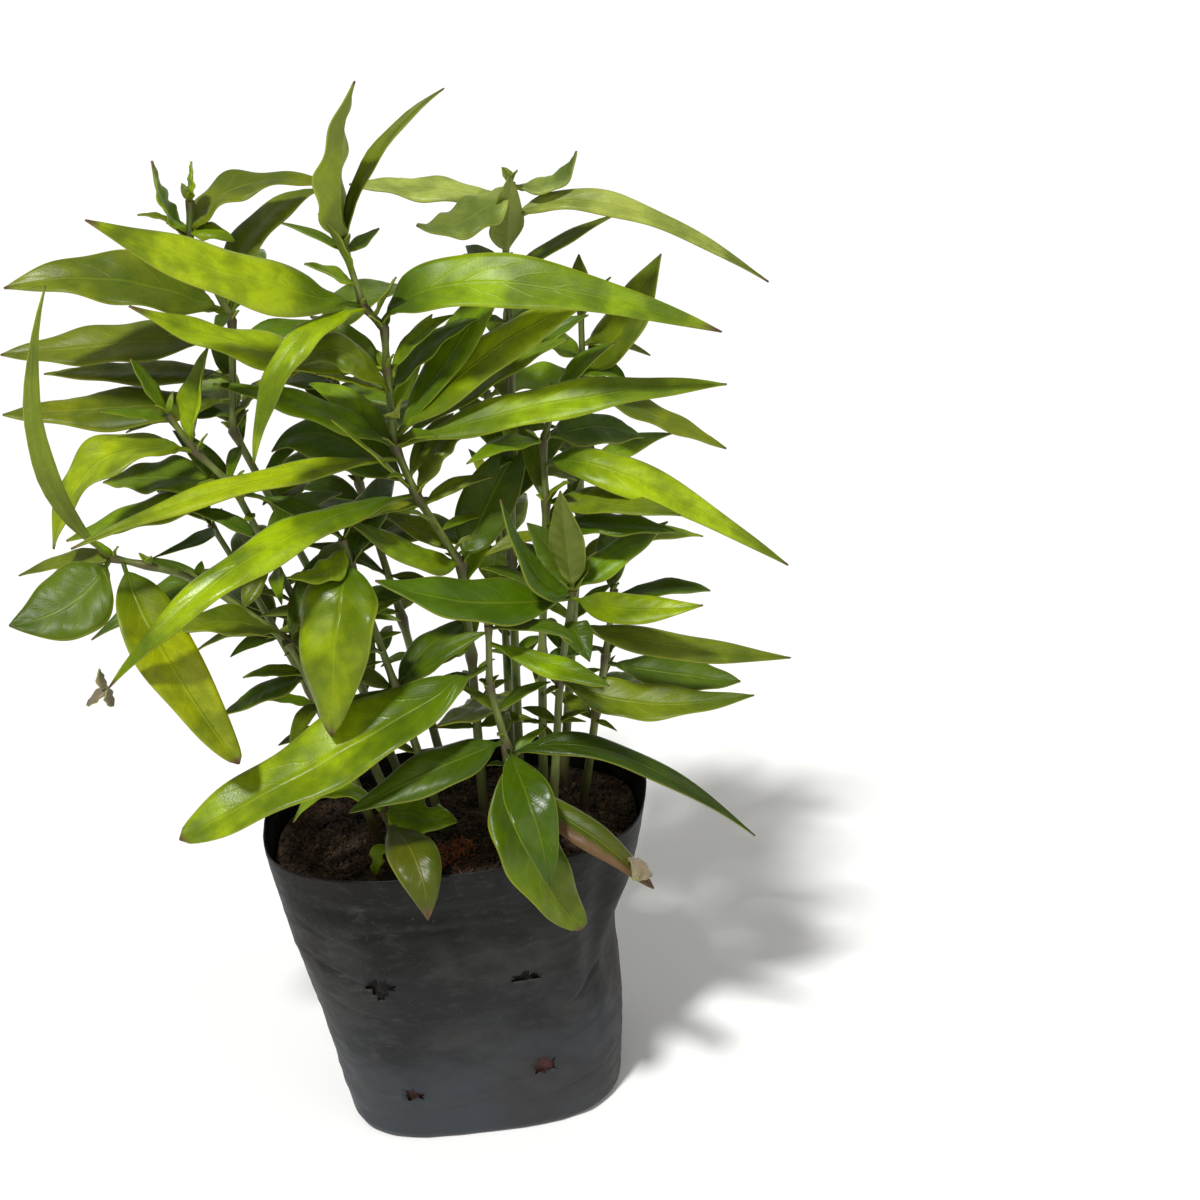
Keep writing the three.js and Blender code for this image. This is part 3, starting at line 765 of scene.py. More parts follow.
class Growth(NodeTree):
    """A Geometry Nodes tree, built with named inputs and then made a plain mesh."""

    def __init__(self, name: str) -> None:
        """Starts an empty tree with a geometry input and output."""
        super().__init__(bpy.data.node_groups.new(name, "GeometryNodeTree"), "GeometryNode")
        for way in ("INPUT", "OUTPUT"):
            self.tree.interface.new_socket("Geometry", in_out=way,
                                           socket_type="NodeSocketGeometry")
        self.start = self.tree.nodes.new("NodeGroupInput")
        self.end = self.tree.nodes.new("NodeGroupOutput")
        self.identifiers: dict[str, str] = {}

    def size(self, name: str, kind: str = "Float") -> Socket:
        """Adds a named input and gives its socket."""
        made = self.tree.interface.new_socket(name, in_out="INPUT",
                                              socket_type="NodeSocket" + kind)
        self.identifiers[name] = made.identifier
        return self.start.outputs[name]

    def vectors(self, operation: str, inputs: dict[str | int, object]) -> Socket:
        """One step of arithmetic on vectors."""
        return self.node("ShaderNodeVectorMath", inputs, operation=operation).outputs[0]

    def random_vector(self, low: float, high: float, seed: int) -> Socket:
        """A vector drawn for each point, its three numbers between low and high."""
        made = self.node("FunctionNodeRandomValue", {"Seed": seed}, data_type="FLOAT_VECTOR")
        self.feed(made.inputs[0], (low,) * 3)
        self.feed(made.inputs[1], (high,) * 3)
        return made.outputs[0]

    def strewn(self, thing: Socket, turn_seed: int, size: Socket) -> Socket:
        """Strews copies of a thing over the host.

        Args:
            thing: what is strewn.
            turn_seed: of its headings.
            size: its size at each point.

        Returns:
            The copies as real geometry.
        """
        spread = self.node("DistributePointsOnFaces", {
            "Mesh": self.start.outputs[0], "Density": self.size("Pieces per square metre"),
            "Seed": self.size("Seed", "Int")})
        placed = self.node("InstanceOnPoints", {
            "Points": spread.outputs[0], "Instance": thing,
            "Rotation": self.random_vector(0, FULL_TURN, turn_seed), "Scale": size})
        return self.node("RealizeInstances", {"Geometry": placed.outputs[0]}).outputs[0]

    def shaken(self, geometry: Socket, scale: float, depth: float) -> Socket:
        """Moves points by smooth noise, so that copies differ.

        Args:
            geometry: what is moved.
            scale: turns of the noise to the metre.
            depth: the widest move, in millimetres.

        Returns:
            The moved geometry.
        """
        wave = self.node("ShaderNodeTexNoise", {"Scale": scale, "Detail": 1.0})
        centred = self.vectors("SUBTRACT", {0: wave.outputs["Color"], 1: (0.5, 0.5, 0.5)})
        sized = self.vectors("SCALE", {0: centred, "Scale": 2 * depth * MM})
        return self.node("SetPosition", {"Geometry": geometry, "Offset": sized}).outputs[0]

    def finish(self, geometry: Socket, material: Material) -> None:
        """Ends the tree in real geometry with its material."""
        real = self.node("RealizeInstances", {"Geometry": geometry})
        dressed = self.node("SetMaterial", {"Geometry": real.outputs[0], "Material": material})
        self.tree.links.new(dressed.outputs[0], self.end.inputs[0])

    def grow(self, name: str, host: Object,
             sizes: dict[str, float | int]) -> Object:
        """Runs the tree on a host mesh, and removes the host.

        Args:
            name: the new piece's name.
            host: the object whose mesh the tree starts from.
            sizes: a value for each named input.

        Returns:
            The new object, a plain mesh with no modifier.
        """
        modifier = host.modifiers.new(name, "NODES")
        modifier.node_group = self.tree
        for key, value in sizes.items():
            modifier[self.identifiers[key]] = value
        settled = host.evaluated_get(bpy.context.evaluated_depsgraph_get())
        mesh = bpy.data.meshes.new_from_object(settled)
        mesh.name = name
        bpy.data.objects.remove(host)
        return linked(name, mesh)


def both_faces(upper: Array, lower: Array) -> Array:
    """Joins a leaf's upper face to its lower one, which runs back the other way."""
    return np.concatenate([upper, lower[:, ::-1]], axis=1)


@dataclass(frozen=True)
class Blades:
    """Makes leaves as closed sheets of two faces, with the bends of real blades.

    Widths and depths are in millimetres, and places along from 0, the root, to 1, the tip.
    A pair of numbers is the least and the most that is drawn, unless it is said otherwise.

    Args:
        bud_wide, small_wide: widths below which a leaf is a bud, and is small.
        bud_grid, small_grid, grid: points along and across a face of each kind.
        petiole, petiole_half: where the stalk ends, and its half thickness.
        opening: how far before and after that place the blade opens.
        fullness, widest: exponents of the outline, the second for its widest place.
        blunting, blunt_over: how much fuller a blunt tip is, and between which places.
        bite_reach: half length of a bite.
        sway: widest sideways bend, as a part of the length.
        twist: widest turn between root and tip, in degrees.
        rolled_by, hook_from: where a leaf has its full roll, and where a hook starts.
        waves, wave_lag: ripples along a margin, and how far the other margin's lag.
        wave_depth, curl: height of the ripples and droop of the margins, by the half width.
        crease_softness: how soft the fold along the midrib is.
        quilt, quilts, quilt_slant: depth, number and slant of the swellings between veins.
        groove, groove_wide: depth and half width of the groove over the midrib.
        dent: depth of the shallow dents.
        edge_thick, middle_thick: half thickness at the margin, and what the middle adds.
        rib, rib_wide: depth and half width of the midrib below.
        full_rib_wide: width from which a leaf has its full relief.
        levels, yellows: how much lighter and how much yellower a leaf is than its tone.
    """

    bud_wide: float = 3
    small_wide: float = 6.8
    bud_grid: tuple[int, int] = (12, 5)
    small_grid: tuple[int, int] = (16, 7)
    grid: tuple[int, int] = (44, 13)
    petiole: float = 0.07
    opening: Span = (0.02, 0.09)
    petiole_half: float = 0.62
    fullness: float = 0.9
    widest: float = 0.74
    blunting: float = 0.42
    blunt_over: Span = (0.45, 0.85)
    bite_reach: float = 0.09
    sway: float = 0.025
    twist: float = 9
    rolled_by: float = 0.2
    hook_from: float = 0.7
    waves: Span = (1.8, 3.4)
    wave_lag: Span = (1.2, 3.6)
    wave_depth: Span = (0.07, 0.16)
    curl: Span = (0.05, 0.36)
    crease_softness: float = 0.015
    quilt: float = 0.36
    quilts: float = 9
    quilt_slant: float = 0.13
    groove: float = 0.12
    groove_wide: float = 0.8
    dent: float = 0.10
    edge_thick: float = 0.15
    middle_thick: float = 0.06
    rib: float = 0.5
    rib_wide: float = 0.55
    full_rib_wide: float = 8
    levels: Span = (0.84, 1.14)
    yellows: Span = (-0.08, 0.08)

    def grid_of(self, one: Leaf) -> tuple[int, int]:
        """Points along and across each face of a leaf, by its width."""
        if one.wide < self.bud_wide:
            return self.bud_grid
        return self.small_grid if one.wide < self.small_wide else self.grid

    def half_widths(self, one: Leaf, along: Array, side: int) -> Array:
        """Half width of a leaf on one side, along its length.

        Args:
            one: the leaf.
            along: places from 0, its root, to 1, its tip.
            side: -1 or 1.

        Returns:
            Half widths in millimetres.
        """
        blade = np.clip((along - self.petiole) / (1 - self.petiole), 0, 1)
        fullness = self.fullness - self.blunting * one.blunt * smoothstep(*self.blunt_over, blade)
        shape = 0.5 * one.wide * np.sin(math.pi * blade ** self.widest) ** fullness
        stalk = self.petiole_half * min(1.0, 0.3 + one.wide / 10) * (1 - 0.75 * blade)
        found = np.maximum(shape, stalk)
        for bitten, place, depth in one.bites:
            if bitten == side:
                away = np.clip(np.abs(along - place) / self.bite_reach, 0, 1)
                found = found * (1 - depth * np.sqrt(1 - away ** 2))
        return found

    def midrib(self, one: Leaf, root: Vector, along: Array,
               draw: Draw) -> tuple[Array, ...]:
        """Bends the midrib.

        Args:
            one: the leaf.
            root: where it grows from.
            along: places from 0, its root, to 1, its tip.
            draw: where its small differences come from.

        Returns:
            Its points, and the directions across and above the blade at each.
        """
        over, tip = Vector(one.bow), Vector(one.tip)
        heading = Vector((tip.x - root.x, tip.y - root.y, 0)).normalized()
        side = UP.cross(heading)
        roll = math.radians(one.face) * (1 if side.y > 0 else -1)
        sway = draw.between(-self.sway, self.sway) * (tip - root).length
        twist = math.radians(draw.between(-self.twist, self.twist))
        centres, across, above = [], [], []
        for t in along:
            place = root * (1 - t) ** 2 + over * (2 * t * (1 - t)) + tip * t * t
            course = (over - root) * (1 - t) + (tip - over) * t
            course.normalize()
            turn = Quaternion(course, roll * min(1.0, t / self.rolled_by) + twist * t)
            sideways = turn @ side
            hooked = max(0.0, (t - self.hook_from) / (1 - self.hook_from))
            centres.append(place + side * (sway * math.sin(math.pi * t))
                           + UP * (one.hook * hooked ** 2))
            across.append(sideways)
            above.append(course.cross(sideways))
        return tuple(np.array([list(v) for v in vs])[:, None, :]
                     for vs in (centres, across, above))

    def relief(self, one: Leaf, draw: Draw, u: Array, v: Array,
               half: Array, opened: Array) -> Array:
        """How far the blade stands off its flat plane, in millimetres.

        Args:
            one: the leaf.
            draw: where its waves come from.
            u: place across, from -1 to 1.
            v: place along, from 0 to 1.
            half: half widths.
            opened: 0 on the stalk, 1 on the blade.

        Returns:
            The lift of each point.
        """
        waves = draw.between(*self.waves)
        phase = draw.between(0, 6.3)
        lag = draw.between(*self.wave_lag)
        wave = draw.between(*self.wave_depth)
        curl = draw.between(*self.curl)
        soft = self.crease_softness
        crease = np.sqrt(u * u + soft) - math.sqrt(soft)
        margin = np.abs(u) ** 1.6
        course = FULL_TURN * waves * v + phase + np.where(u < 0, 0.0, lag)
        spots = np.stack(np.broadcast_arrays(u * 1.1, v * 6, phase * 7), axis=-1)
        dents = self.dent * rough(spots, (1, 1, 1)) * (1 - u * u)
        bent = one.fold * crease + wave * margin * np.sin(course) - curl * u ** 4 + dents
        quilting = np.cos(FULL_TURN * self.quilts * (v - self.quilt_slant * np.abs(u)))
        quilting = self.quilt * quilting * (1 - u * u) * margin
        groove = self.groove * hump(u * half, self.groove_wide)
        return opened * (bent * half + (quilting - groove) * self.fine(one))

    def fine(self, one: Leaf) -> float:
        """How much of the fine relief a leaf has, by its width."""
        return min(1.0, one.wide / self.full_rib_wide)

    def tints(self, one: Leaf, tone: Tone, draw: Draw, shape: tuple[int, int],
              v: Array) -> Array:
        """Colour of each point of a leaf, from its tone and its own small difference.

        Args:
            one: the leaf.
            tone: its colour.
            draw: where its small difference comes from.
            shape: points along and across.
            v: place along, from 0 to 1.

        Returns:
            Red, green and blue for each point.
        """
        level = draw.between(*self.levels)
        yellow = draw.between(*self.yellows)
        shift = np.array([1 + yellow, 1.0, 1 - yellow])
        # The darker green towards the root is partly the leaf's own colour and partly painted
        # shade, where leaves above shade it.
        ripe = smoothstep(0.6 * one.green - 0.1, 1.5 * one.green, v)
        flat = np.broadcast_to(ripe[..., None], (*shape, 1))
        along = 0.9 + 0.2 * np.sin(math.pi * v[..., None])
        colour = np.array(Tone.UNRIPE.value) * (1 - flat) + np.array(tone.value) * flat
        return along * colour * level * shift

    def dryness(self, one: Leaf, u: Array, v: Array) -> Array:
        """How dry each point of a leaf is, from 0 to 1, by its tip and its singed margin."""
        reach = np.clip((v - (1 - one.dry * 2)) / max(one.dry * 2, 1e-3), 0, 1)
        margin = one.singed * smoothstep(-0.3, 0.8, -u) * smoothstep(0.05, 0.4, v)
        return 0.6 * np.maximum(reach, margin)

    def add(self, sheet: Sheet, one: Leaf, root: Vector, tone: Tone, draw: Draw) -> None:
        """Adds one leaf's two faces to its stem's sheet.

        Args:
            sheet: what the leaf is added to.
            one: the leaf.
            root: where it grows from.
            tone: its colour.
            draw: where its small differences come from.
        """
        rows, columns = self.grid_of(one)
        along = np.linspace(0, 1, rows)
        centres, across, above = self.midrib(one, root, along, draw)
        u = np.linspace(-1, 1, columns)[None, :]
        v = along[:, None]
        left, right = (self.half_widths(one, along, side)[:, None] for side in (-1, 1))
        half = np.where(u < 0, left, right)
        before, after = self.opening
        opened = smoothstep(self.petiole - before, self.petiole + after, v)
        lift = self.relief(one, draw, u, v, half, opened)
        stalk = half * np.sqrt(np.clip(1 - u * u, 0, 1)) * (1 - opened)
        thick = stalk + opened * (self.edge_thick + self.middle_thick * (1 - u * u))
        rib = self.rib * hump(u * half, self.rib_wide) * (1 - v) ** 0.8 * opened * self.fine(one)
        blade = centres + across * (u * half)[..., None]
        places = both_faces(blade + above * (lift + thick)[..., None],
                            blade + above * (lift - thick - rib)[..., None])

        uv = np.stack(np.broadcast_arrays((u + 1) / 2, v), axis=-1)
        tint = self.tints(one, tone, draw, half.shape, v)
        dry = np.broadcast_to(self.dryness(one, u, v), half.shape)
        values = {"under": both_faces(np.zeros(half.shape), np.ones(half.shape)),
                  "dry": both_faces(dry, dry),
                  "gloss": np.full(places.shape[:2], one.gloss + draw.between(-0.1, 0.15))}
        sheet.grid(places, both_faces(uv, uv), both_faces(tint, tint), values)


@dataclass
class LeafyStem:
    """A stem with all its leaves, in place of one node.

    A pair of numbers is the least and the most that is drawn.

    Args:
        node: the CAD node's name.
        tone: colour of its leaves where they name none.
        slot: the record's material slot; not used.
        path: its foot, as x and y, and then its joints up to the growing tip.
        leaves: the listed leaves.
        pairs: further leaves that follow the rule of opposite pairs.
        blades: what makes the leaves.
        foot_bottom, foot_top: heights of the ends of its foot in the mix.
        radius_at_soil, radius_at_tip: radii of the plain stem.
        joint_swell, joint_length: how much thicker a joint is, and its half length.
        sides, station: faces round the stem, and length of each.
        bark, bark_over: height at which the corky foot is full, and over which it fades.
        bud_reach, bud_width, bud_climb: sizes of the buds, and how steeply they rise.
        shoots_from, shoots_below_tip: where the side shoots start and end.
        shoot_step, shoot_spacing: height between them, and what it is multiplied by.
        shoot_reach, shoot_slimness: length of a shoot, and its width by its length.
        shoot_stray, shoot_climb: its widest turn off its heading, and how steeply it rises.
        low_shoots, low_height: how much shorter the lowest are, and over what height.
        front_shoots: how much shorter those that point to the front are.
        shoot_tones: their colours.
    """

    node: str
    tone: Tone
    slot: str
    path: tuple[tuple[float, ...], ...]
    leaves: tuple[Leaf, ...] = ()
    pairs: Pairs | None = None
    blades: Blades = Blades()
    foot_bottom: float = 66
    foot_top: float = 84
    radius_at_soil: float = 1.35
    radius_at_tip: float = 0.75
    joint_swell: float = 1.5
    joint_length: float = 2.4
    sides: int = 12
    station: float = 1.6
    bark: float = 80
    bark_over: float = 26
    bud_reach: Span = (3.5, 8)
    bud_width: Span = (1.4, 2.6)
    bud_climb: float = 1.1
    shoots_from: float = 104
    shoots_below_tip: float = 22
    shoot_step: float = 9
    shoot_spacing: Span = (0.7, 1.3)
    shoot_reach: Span = (14, 30)
    shoot_slimness: Span = (0.17, 0.27)
    shoot_stray: float = 0.6
    shoot_climb: Span = (-0.2, 0.9)
    low_shoots: float = 0.55
    low_height: float = 24
    front_shoots: float = 0.6
    shoot_tones: tuple[Tone, ...] = (Tone.UNRIPE, Tone.FRESH, Tone.DEEP_GREEN_AND_SHADE, Tone.OLIVE)

    def joints(self) -> list[Vector]:
        """The points of the stem, from its foot in the mix to its tip."""
        x, y = self.path[0]
        foot = [Vector((x, y, self.foot_bottom)), Vector((x, y, self.foot_top))]
        return foot + [Vector(point) for point in self.path[1:]]

    def point_at(self, height: float) -> Vector:
        """The stem's point at a height."""
        points = self.joints()
        for low, high in zip(points, points[1:]):
            if high.z >= height:
                return low.lerp(high, (height - low.z) / (high.z - low.z))
        return points[-1].copy()

    def build(self, leaf: Material, stem: Material) -> None:
        """Builds the leaves and the stem, attaches both to the body and hides the CAD node.

        Args:
            leaf: finish of the leaves.
            stem: finish of the stem.
        """
        draw = Draw(sum(map(ord, self.node)))
        sheet = Sheet()
        paired = self.pairs.leaves(self.point_at) if self.pairs else []
        for one in [*self.leaves, *paired, *self.buds(draw), *self.shoots(draw)]:
            root = Vector(one.root) if one.root else self.point_at(one.joint)
            self.blades.add(sheet, one, root, one.tone or self.tone, draw)
        short = self.node.removeprefix("stem_")
        leaves = sheet.object(f"leaves_{short}", leaf)
        tube = self.tube(f"stalk_{short}", stem)
        for piece in (leaves, tube):
            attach(piece, BODY)
            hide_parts(self.node)
        log.info("%s: %d leaves and buds", self.node, len(self.leaves) + len(paired))

    def buds(self, draw: Draw) -> list[Leaf]:
        """Small young leaves in the axils of the upper joints.

        Args:
            draw: where their small differences come from.

        Returns:
            Two for each joint.
        """
        found = []
        for joint in self.joints()[3:]:
            heading = draw.between(0, FULL_TURN)
            for half in (0, math.pi):
                length = draw.between(*self.bud_reach)
                out = Vector((math.cos(heading + half), math.sin(heading + half),
                              self.bud_climb))
                tip = joint + out * length * 0.6
                found.append(Leaf(joint.z - 0.5, arched(joint, tip, 0.4, 0.8), tuple(tip),
                                  draw.between(*self.bud_width), fold=0.5))
        return found

    def shoots(self, draw: Draw) -> list[Leaf]:
        """Small leaves of the side shoots, in opposite pairs up the stem.

        Args:
            draw: where their small differences come from.

        Returns:
            Two for each shoot.
        """
        found = []
        height = self.shoots_from + draw.between(0, self.shoot_step)
        turn = draw.between(0, FULL_TURN)
        while height < self.path[-1][-1] - self.shoots_below_tip:
            root = self.point_at(height)
            for half in (0, math.pi):
                heading = turn + half + draw.between(-self.shoot_stray, self.shoot_stray)
                climb = draw.between(*self.shoot_climb)
                reach = draw.between(*self.shoot_reach)
                reach *= self.low_shoots if height < self.shoots_from + self.low_height else 1
                reach *= self.front_shoots if math.sin(heading) < -0.3 else 1
                out = Vector((math.cos(heading), math.sin(heading), climb)).normalized()
                tip = root + out * reach
                tone = self.shoot_tones[int(draw.next() * len(self.shoot_tones))]
                wide = min(reach * draw.between(*self.shoot_slimness),
                           self.blades.small_wide - 0.1)
                found.append(Leaf(height, arched(root, tip, 0.45, 0.2 * reach), tuple(tip), wide,
                                  face=25, fold=0.4, tone=tone))
            turn += math.pi / 2
            height += self.shoot_step * draw.between(*self.shoot_spacing)
        return found

    def stations(self) -> tuple[list[Vector], list[float], list[float]]:
        """Spaces points closely up the stem.

        Returns:
            The points, and at each the radius and the nearness of a joint from 0 to 1.
        """
        points = self.joints()
        low, high = points[0].z, points[-1].z
        places = [points[0]]
        for a, b in zip(points, points[1:]):
            count = max(1, round((b - a).length / self.station))
            places += [a.lerp(b, (i + 1) / count) for i in range(count)]
        radii, nearness = [], []
        for place in places:
            near = max((math.exp(-((place - joint).length / self.joint_length) ** 2)
                        for joint in points[2:]), default=0.0)
            part = (place.z - low) / (high - low)
            plain = self.radius_at_soil + (self.radius_at_tip - self.radius_at_soil) * part
            radii.append(plain * (1 + (self.joint_swell - 1) * near))
            nearness.append(near)
        return places, radii, nearness

    def tube(self, name: str, material: Material) -> Object:
        """Grows the stem's tube along its path.

        Args:
            name: the piece's name.
            material: its finish.

        Returns:
            The tube.
        """
        places, radii, nearness = self.stations()
        mesh = bpy.data.meshes.new(name + "_path")
        edges = [(i, i + 1) for i in range(len(places) - 1)]
        mesh.from_pydata([tuple(place * MM) for place in places], edges, [])
        bark = [max(0.0, 1 - (place.z - self.bark) / self.bark_over) for place in places]
        give_values(mesh, {"girth": [r * MM for r in radii], "joint": nearness, "foot": bark})
        grown = Growth(name)
        sides = grown.size("Sides", "Int")
        course = grown.node("MeshToCurve", {"Mesh": grown.start.outputs[0]})
        girth = grown.node("InputNamedAttribute", {"Name": "girth"}, data_type="FLOAT")
        scaled = grown.node("ShaderNodeMath", {0: girth.outputs[0], 1: grown.size("Thickness")},
                            operation="MULTIPLY")
        ring = grown.node("CurvePrimitiveCircle", {"Resolution": sides, "Radius": 1.0})
        skin = grown.node("CurveToMesh", {
            "Curve": course.outputs[0], "Profile Curve": ring.outputs[0],
            "Scale": scaled.outputs[0], "Fill Caps": True})
        grown.finish(skin.outputs[0], material)
        made = grown.grow(name, linked(name + "_host", mesh),
                          {"Sides": self.sides, "Thickness": 1.0})
        made.data.shade_smooth()
        return made


@dataclass(frozen=True)
class Hole:
    """A punched drain hole: its middle, and its size beside the others."""

    x: float
    z: float
    size: float = 1


@dataclass(frozen=True)
class Fold:
    """A broad fold of the film: its depth, and its place and spread round and up the bag."""

    depth: float
    angle: float
    spread: float
    level: float
    tall: float

    def dip(self, level: Array, from_right: Array) -> Array:
        """How far it pulls the film in, in millimetres."""
        return (self.depth * hump(from_right - self.angle, self.spread)
                * hump(level - self.level, self.tall))


@dataclass(frozen=True)
class Crease:
    """A crease of the front: its middle, half height, half length, depth and slope."""

    x: float
    z: float
    tall: float
    wide: float
    deep: float
    slope: float

    def dip(self, places: Array, seed: float) -> Array:
        """How far it goes into the film, in millimetres, along a line that wavers."""
        x, y, z = np.moveaxis(places, -1, 0)
        line = z - self.z - self.slope * (x - self.x)
        line = line - 1.3 * rough(places, (0.05, 0.05, 0), seed)
        return self.deep * (y < 0) * hump(x - self.x, self.wide) * hump(line, self.tall)


@dataclass(frozen=True)
class Swell:
    """Smooth noise that stands up from a surface.

    Args:
        tall: its height in millimetres.
        scale: how often it turns along x, y and z.
        seed: moves it elsewhere.
    """

    tall: float
    scale: Point
    seed: float = 0

    def lift(self, places: Array) -> Array:
        """How far it stands up, in millimetres."""
        return self.tall * rough(places, self.scale, self.seed)


@dataclass(frozen=True)
class Ridges(Swell):
    """Noise with sharp crests, narrowed by a power, that run slantwise or level."""

    sharpness: float = 10
    slanted: bool = True

    def lift(self, places: Array) -> Array:
        """How far the crests stand up, in millimetres."""
        if self.slanted:
            x, y, z = np.moveaxis(places, -1, 0)
            places = np.stack([x + 0.8 * z, y, z - 0.5 * x], axis=-1)
        return self.tall * (1 - np.abs(rough(places, self.scale, self.seed))) ** self.sharpness


@dataclass
class Bag:
    """The nursery bag of thin film, in place of the node poly_bag.

    Levels run from 0, the base, to 1, the mouth; angles start at the right-hand end.

    Args:
        height: of the mouth above the base.
        half_widths, half_depths: those of the solid, evenly spaced up the bag.
        squareness: exponents of its outline at the base and at the mouth.
        lean: how far its middle lies to the left, at the base and at the mouth.
        foot_level, foot_scale: where the foot's rounding ends, and how narrow the base is.
        wrinkle_depth, wrinkles_up: depth and number of the shallow wrinkles up the bag.
        rim_at_ends, rim_at_back, rim_at_front, rim_wave: how far the mouth's edge rises.
        folds, creases, ridges, billows: the shape of the film.
        sink: how far it lies in between its crests.
        flutter, mouth: noise near the mouth, and the levels over which it grows.
        pleats, gathers: noise near the base, and the levels over which it fades.
        pucker, rays, pucker_wide: how far, and in rays, the film stands out round a hole.
        drain_holes: those of the front, which the back has too.
        drain_radius: of a hole of size 1.
        hole_edge, tears: how torn a hole's edge is, as waves round it and their depths.
        snap: how far from a hole the film is drawn to its edge.
        flap_hole, flap_edge: the hole that a flap half closes, and the flap's height in it.
        film: its thickness.
        rows, columns: points up and round the bag.
        foot_rows: how many of the rows are in the foot's rounding.
        floor_rings: sizes of the rings of points in the base.
        deepest_dent: how far the fine relief may go in.
    """

    height: float = 87
    half_widths: tuple[float, ...] = (38, 40, 42, 44.5, 47.5, 50.5)
    half_depths: tuple[float, ...] = (29, 30, 31, 31.5, 31.5, 32)
    squareness: Span = (3.2, 2.5)
    lean: Span = (4, 1)
    foot_level: float = 0.035
    foot_scale: float = 0.93
    wrinkle_depth: float = 0.1
    wrinkles_up: float = 5
    rim_at_ends: float = 1.6
    rim_at_back: float = 1.2
    rim_at_front: float = 4.5
    rim_wave: float = 0.5
    folds: tuple[Fold, ...] = (
        Fold(5.6, -0.25, 0.4, 0.54, 0.16), Fold(2.4, -0.75, 0.16, 0.7, 0.3),
        Fold(1.0, -2.6, 0.4, 0.3, 0.2))
    creases: tuple[Crease, ...] = (
        Crease(-10, 77, 2.0, 24, 1.1, -0.05), Crease(-14, 71, 1.0, 18, 0.7, 0.03),
        Crease(-32, 66, 0.7, 9, 0.6, -0.5), Crease(-34, 57, 0.7, 8, 0.6, -0.45),
        Crease(-30, 45, 0.8, 9, 0.55, -0.35), Crease(12, 61, 0.8, 14, 0.5, 0.1),
        Crease(-24, 31, 1.1, 11, 0.6, 0.45), Crease(2, 33, 0.9, 18, 0.45, 0.05),
        Crease(28, 44, 0.9, 8, 0.5, 0.8), Crease(-8, 12, 1.0, 20, 0.5, 0.15),
        Crease(20, 12, 0.9, 14, 0.4, 0.3))
    ridges: tuple[Ridges, ...] = (
        Ridges(0.10, (0.034, 0.034, 0.12), sharpness=9, slanted=False),
        Ridges(0.16, (0.05, 0.05, 0.13), 9),
        Ridges(0.05, (0.16, 0.16, 0.3), 15, sharpness=5))
    billows: Swell = Swell(0.30, (0.045, 0.045, 0.06), 4)
    sink: float = 0.1
    flutter: Swell = Swell(0.35, (0.07, 0.07, 0.05), 21)
    mouth: Span = (0.88, 1)
    pleats: Swell = Swell(0.25, (0.22, 0.22, 0.08), 33)
    gathers: Span = (0.02, 0.16)
    pucker: float = 0.3
    rays: float = 0.35
    pucker_wide: float = 7
    drain_holes: tuple[Hole, ...] = (
        Hole(-25, 54), Hole(13, 52), Hole(-22, 17, 0.72), Hole(14, 22, 0.95))
    drain_radius: float = 3.0
    hole_edge: float = 0.92
    tears: tuple[tuple[int, float], ...] = ((3, 0.16), (7, 0.13), (13, 0.09))
    snap: float = 1.2
    flap_hole: int = 1
    flap_edge: float = 0.6
    film: float = 0.35
    rows: int = 118
    columns: int = 260
    foot_rows: int = 6
    floor_rings: tuple[float, ...] = (0.03, 0.4, 0.75)
    deepest_dent: float = 0.7

    def dips(self, level: Array, angle: Array) -> Array:
        """How far the broad folds and wrinkles pull the film in."""
        from_right = np.arctan2(np.sin(angle), np.cos(angle))
        folds = sum(fold.dip(level, from_right) for fold in self.folds)
        course = FULL_TURN * self.wrinkles_up * level + 2 * np.sin(2 * angle)
        return folds + self.wrinkle_depth * np.sin(math.pi * level) * np.sin(course)

    def rim(self, angle: Array) -> Array:
        """Height of the mouth's edge round the bag."""
        ends = self.rim_at_ends * np.cos(2 * angle) + self.rim_at_back * np.sin(angle)
        front = self.rim_at_front * np.clip(-np.sin(angle + 0.1), 0, 1) ** 4
        return self.height + ends + front + self.rim_wave * np.sin(5 * angle + 1)

    def points(self, level: Array, angle: Array, inset: float = 0) -> Array:
        """Points of the film, moved inwards.

        Args:
            level: from 0, the base, to 1, the mouth.
            angle: round the bag, from its right-hand end.
            inset: how far inwards, in millimetres.

        Returns:
            The points in millimetres.
        """
        near_foot = np.clip(1 - level / self.foot_level, 0, 1)
        foot = self.foot_scale + (1 - self.foot_scale) * np.sqrt(1 - near_foot ** 2)
        low, high = self.squareness
        power = 2 / (low + (high - low) * level)
        pull = inset + self.dips(level, angle)
        x, y = ((spline(halves, level) * foot - pull) * np.sign(way) * np.abs(way) ** power
                for halves, way in ((self.half_widths, np.cos(angle)),
                                    (self.half_depths, np.sin(angle))))
        return np.stack([x - self.off(level), y, level * self.rim(angle)], axis=-1)

    def off(self, level: Array) -> Array:
        """How far to the left of the origin the bag's middle lies, most at its base."""
        at_base, at_mouth = self.lean
        return at_base + (at_mouth - at_base) * level ** 3

    def middle(self, level: Array) -> Array:
        """The bag's middle at each level, on the floor."""
        off = self.off(level)
        return np.stack([-off, np.zeros_like(off), np.zeros_like(off)], axis=-1)

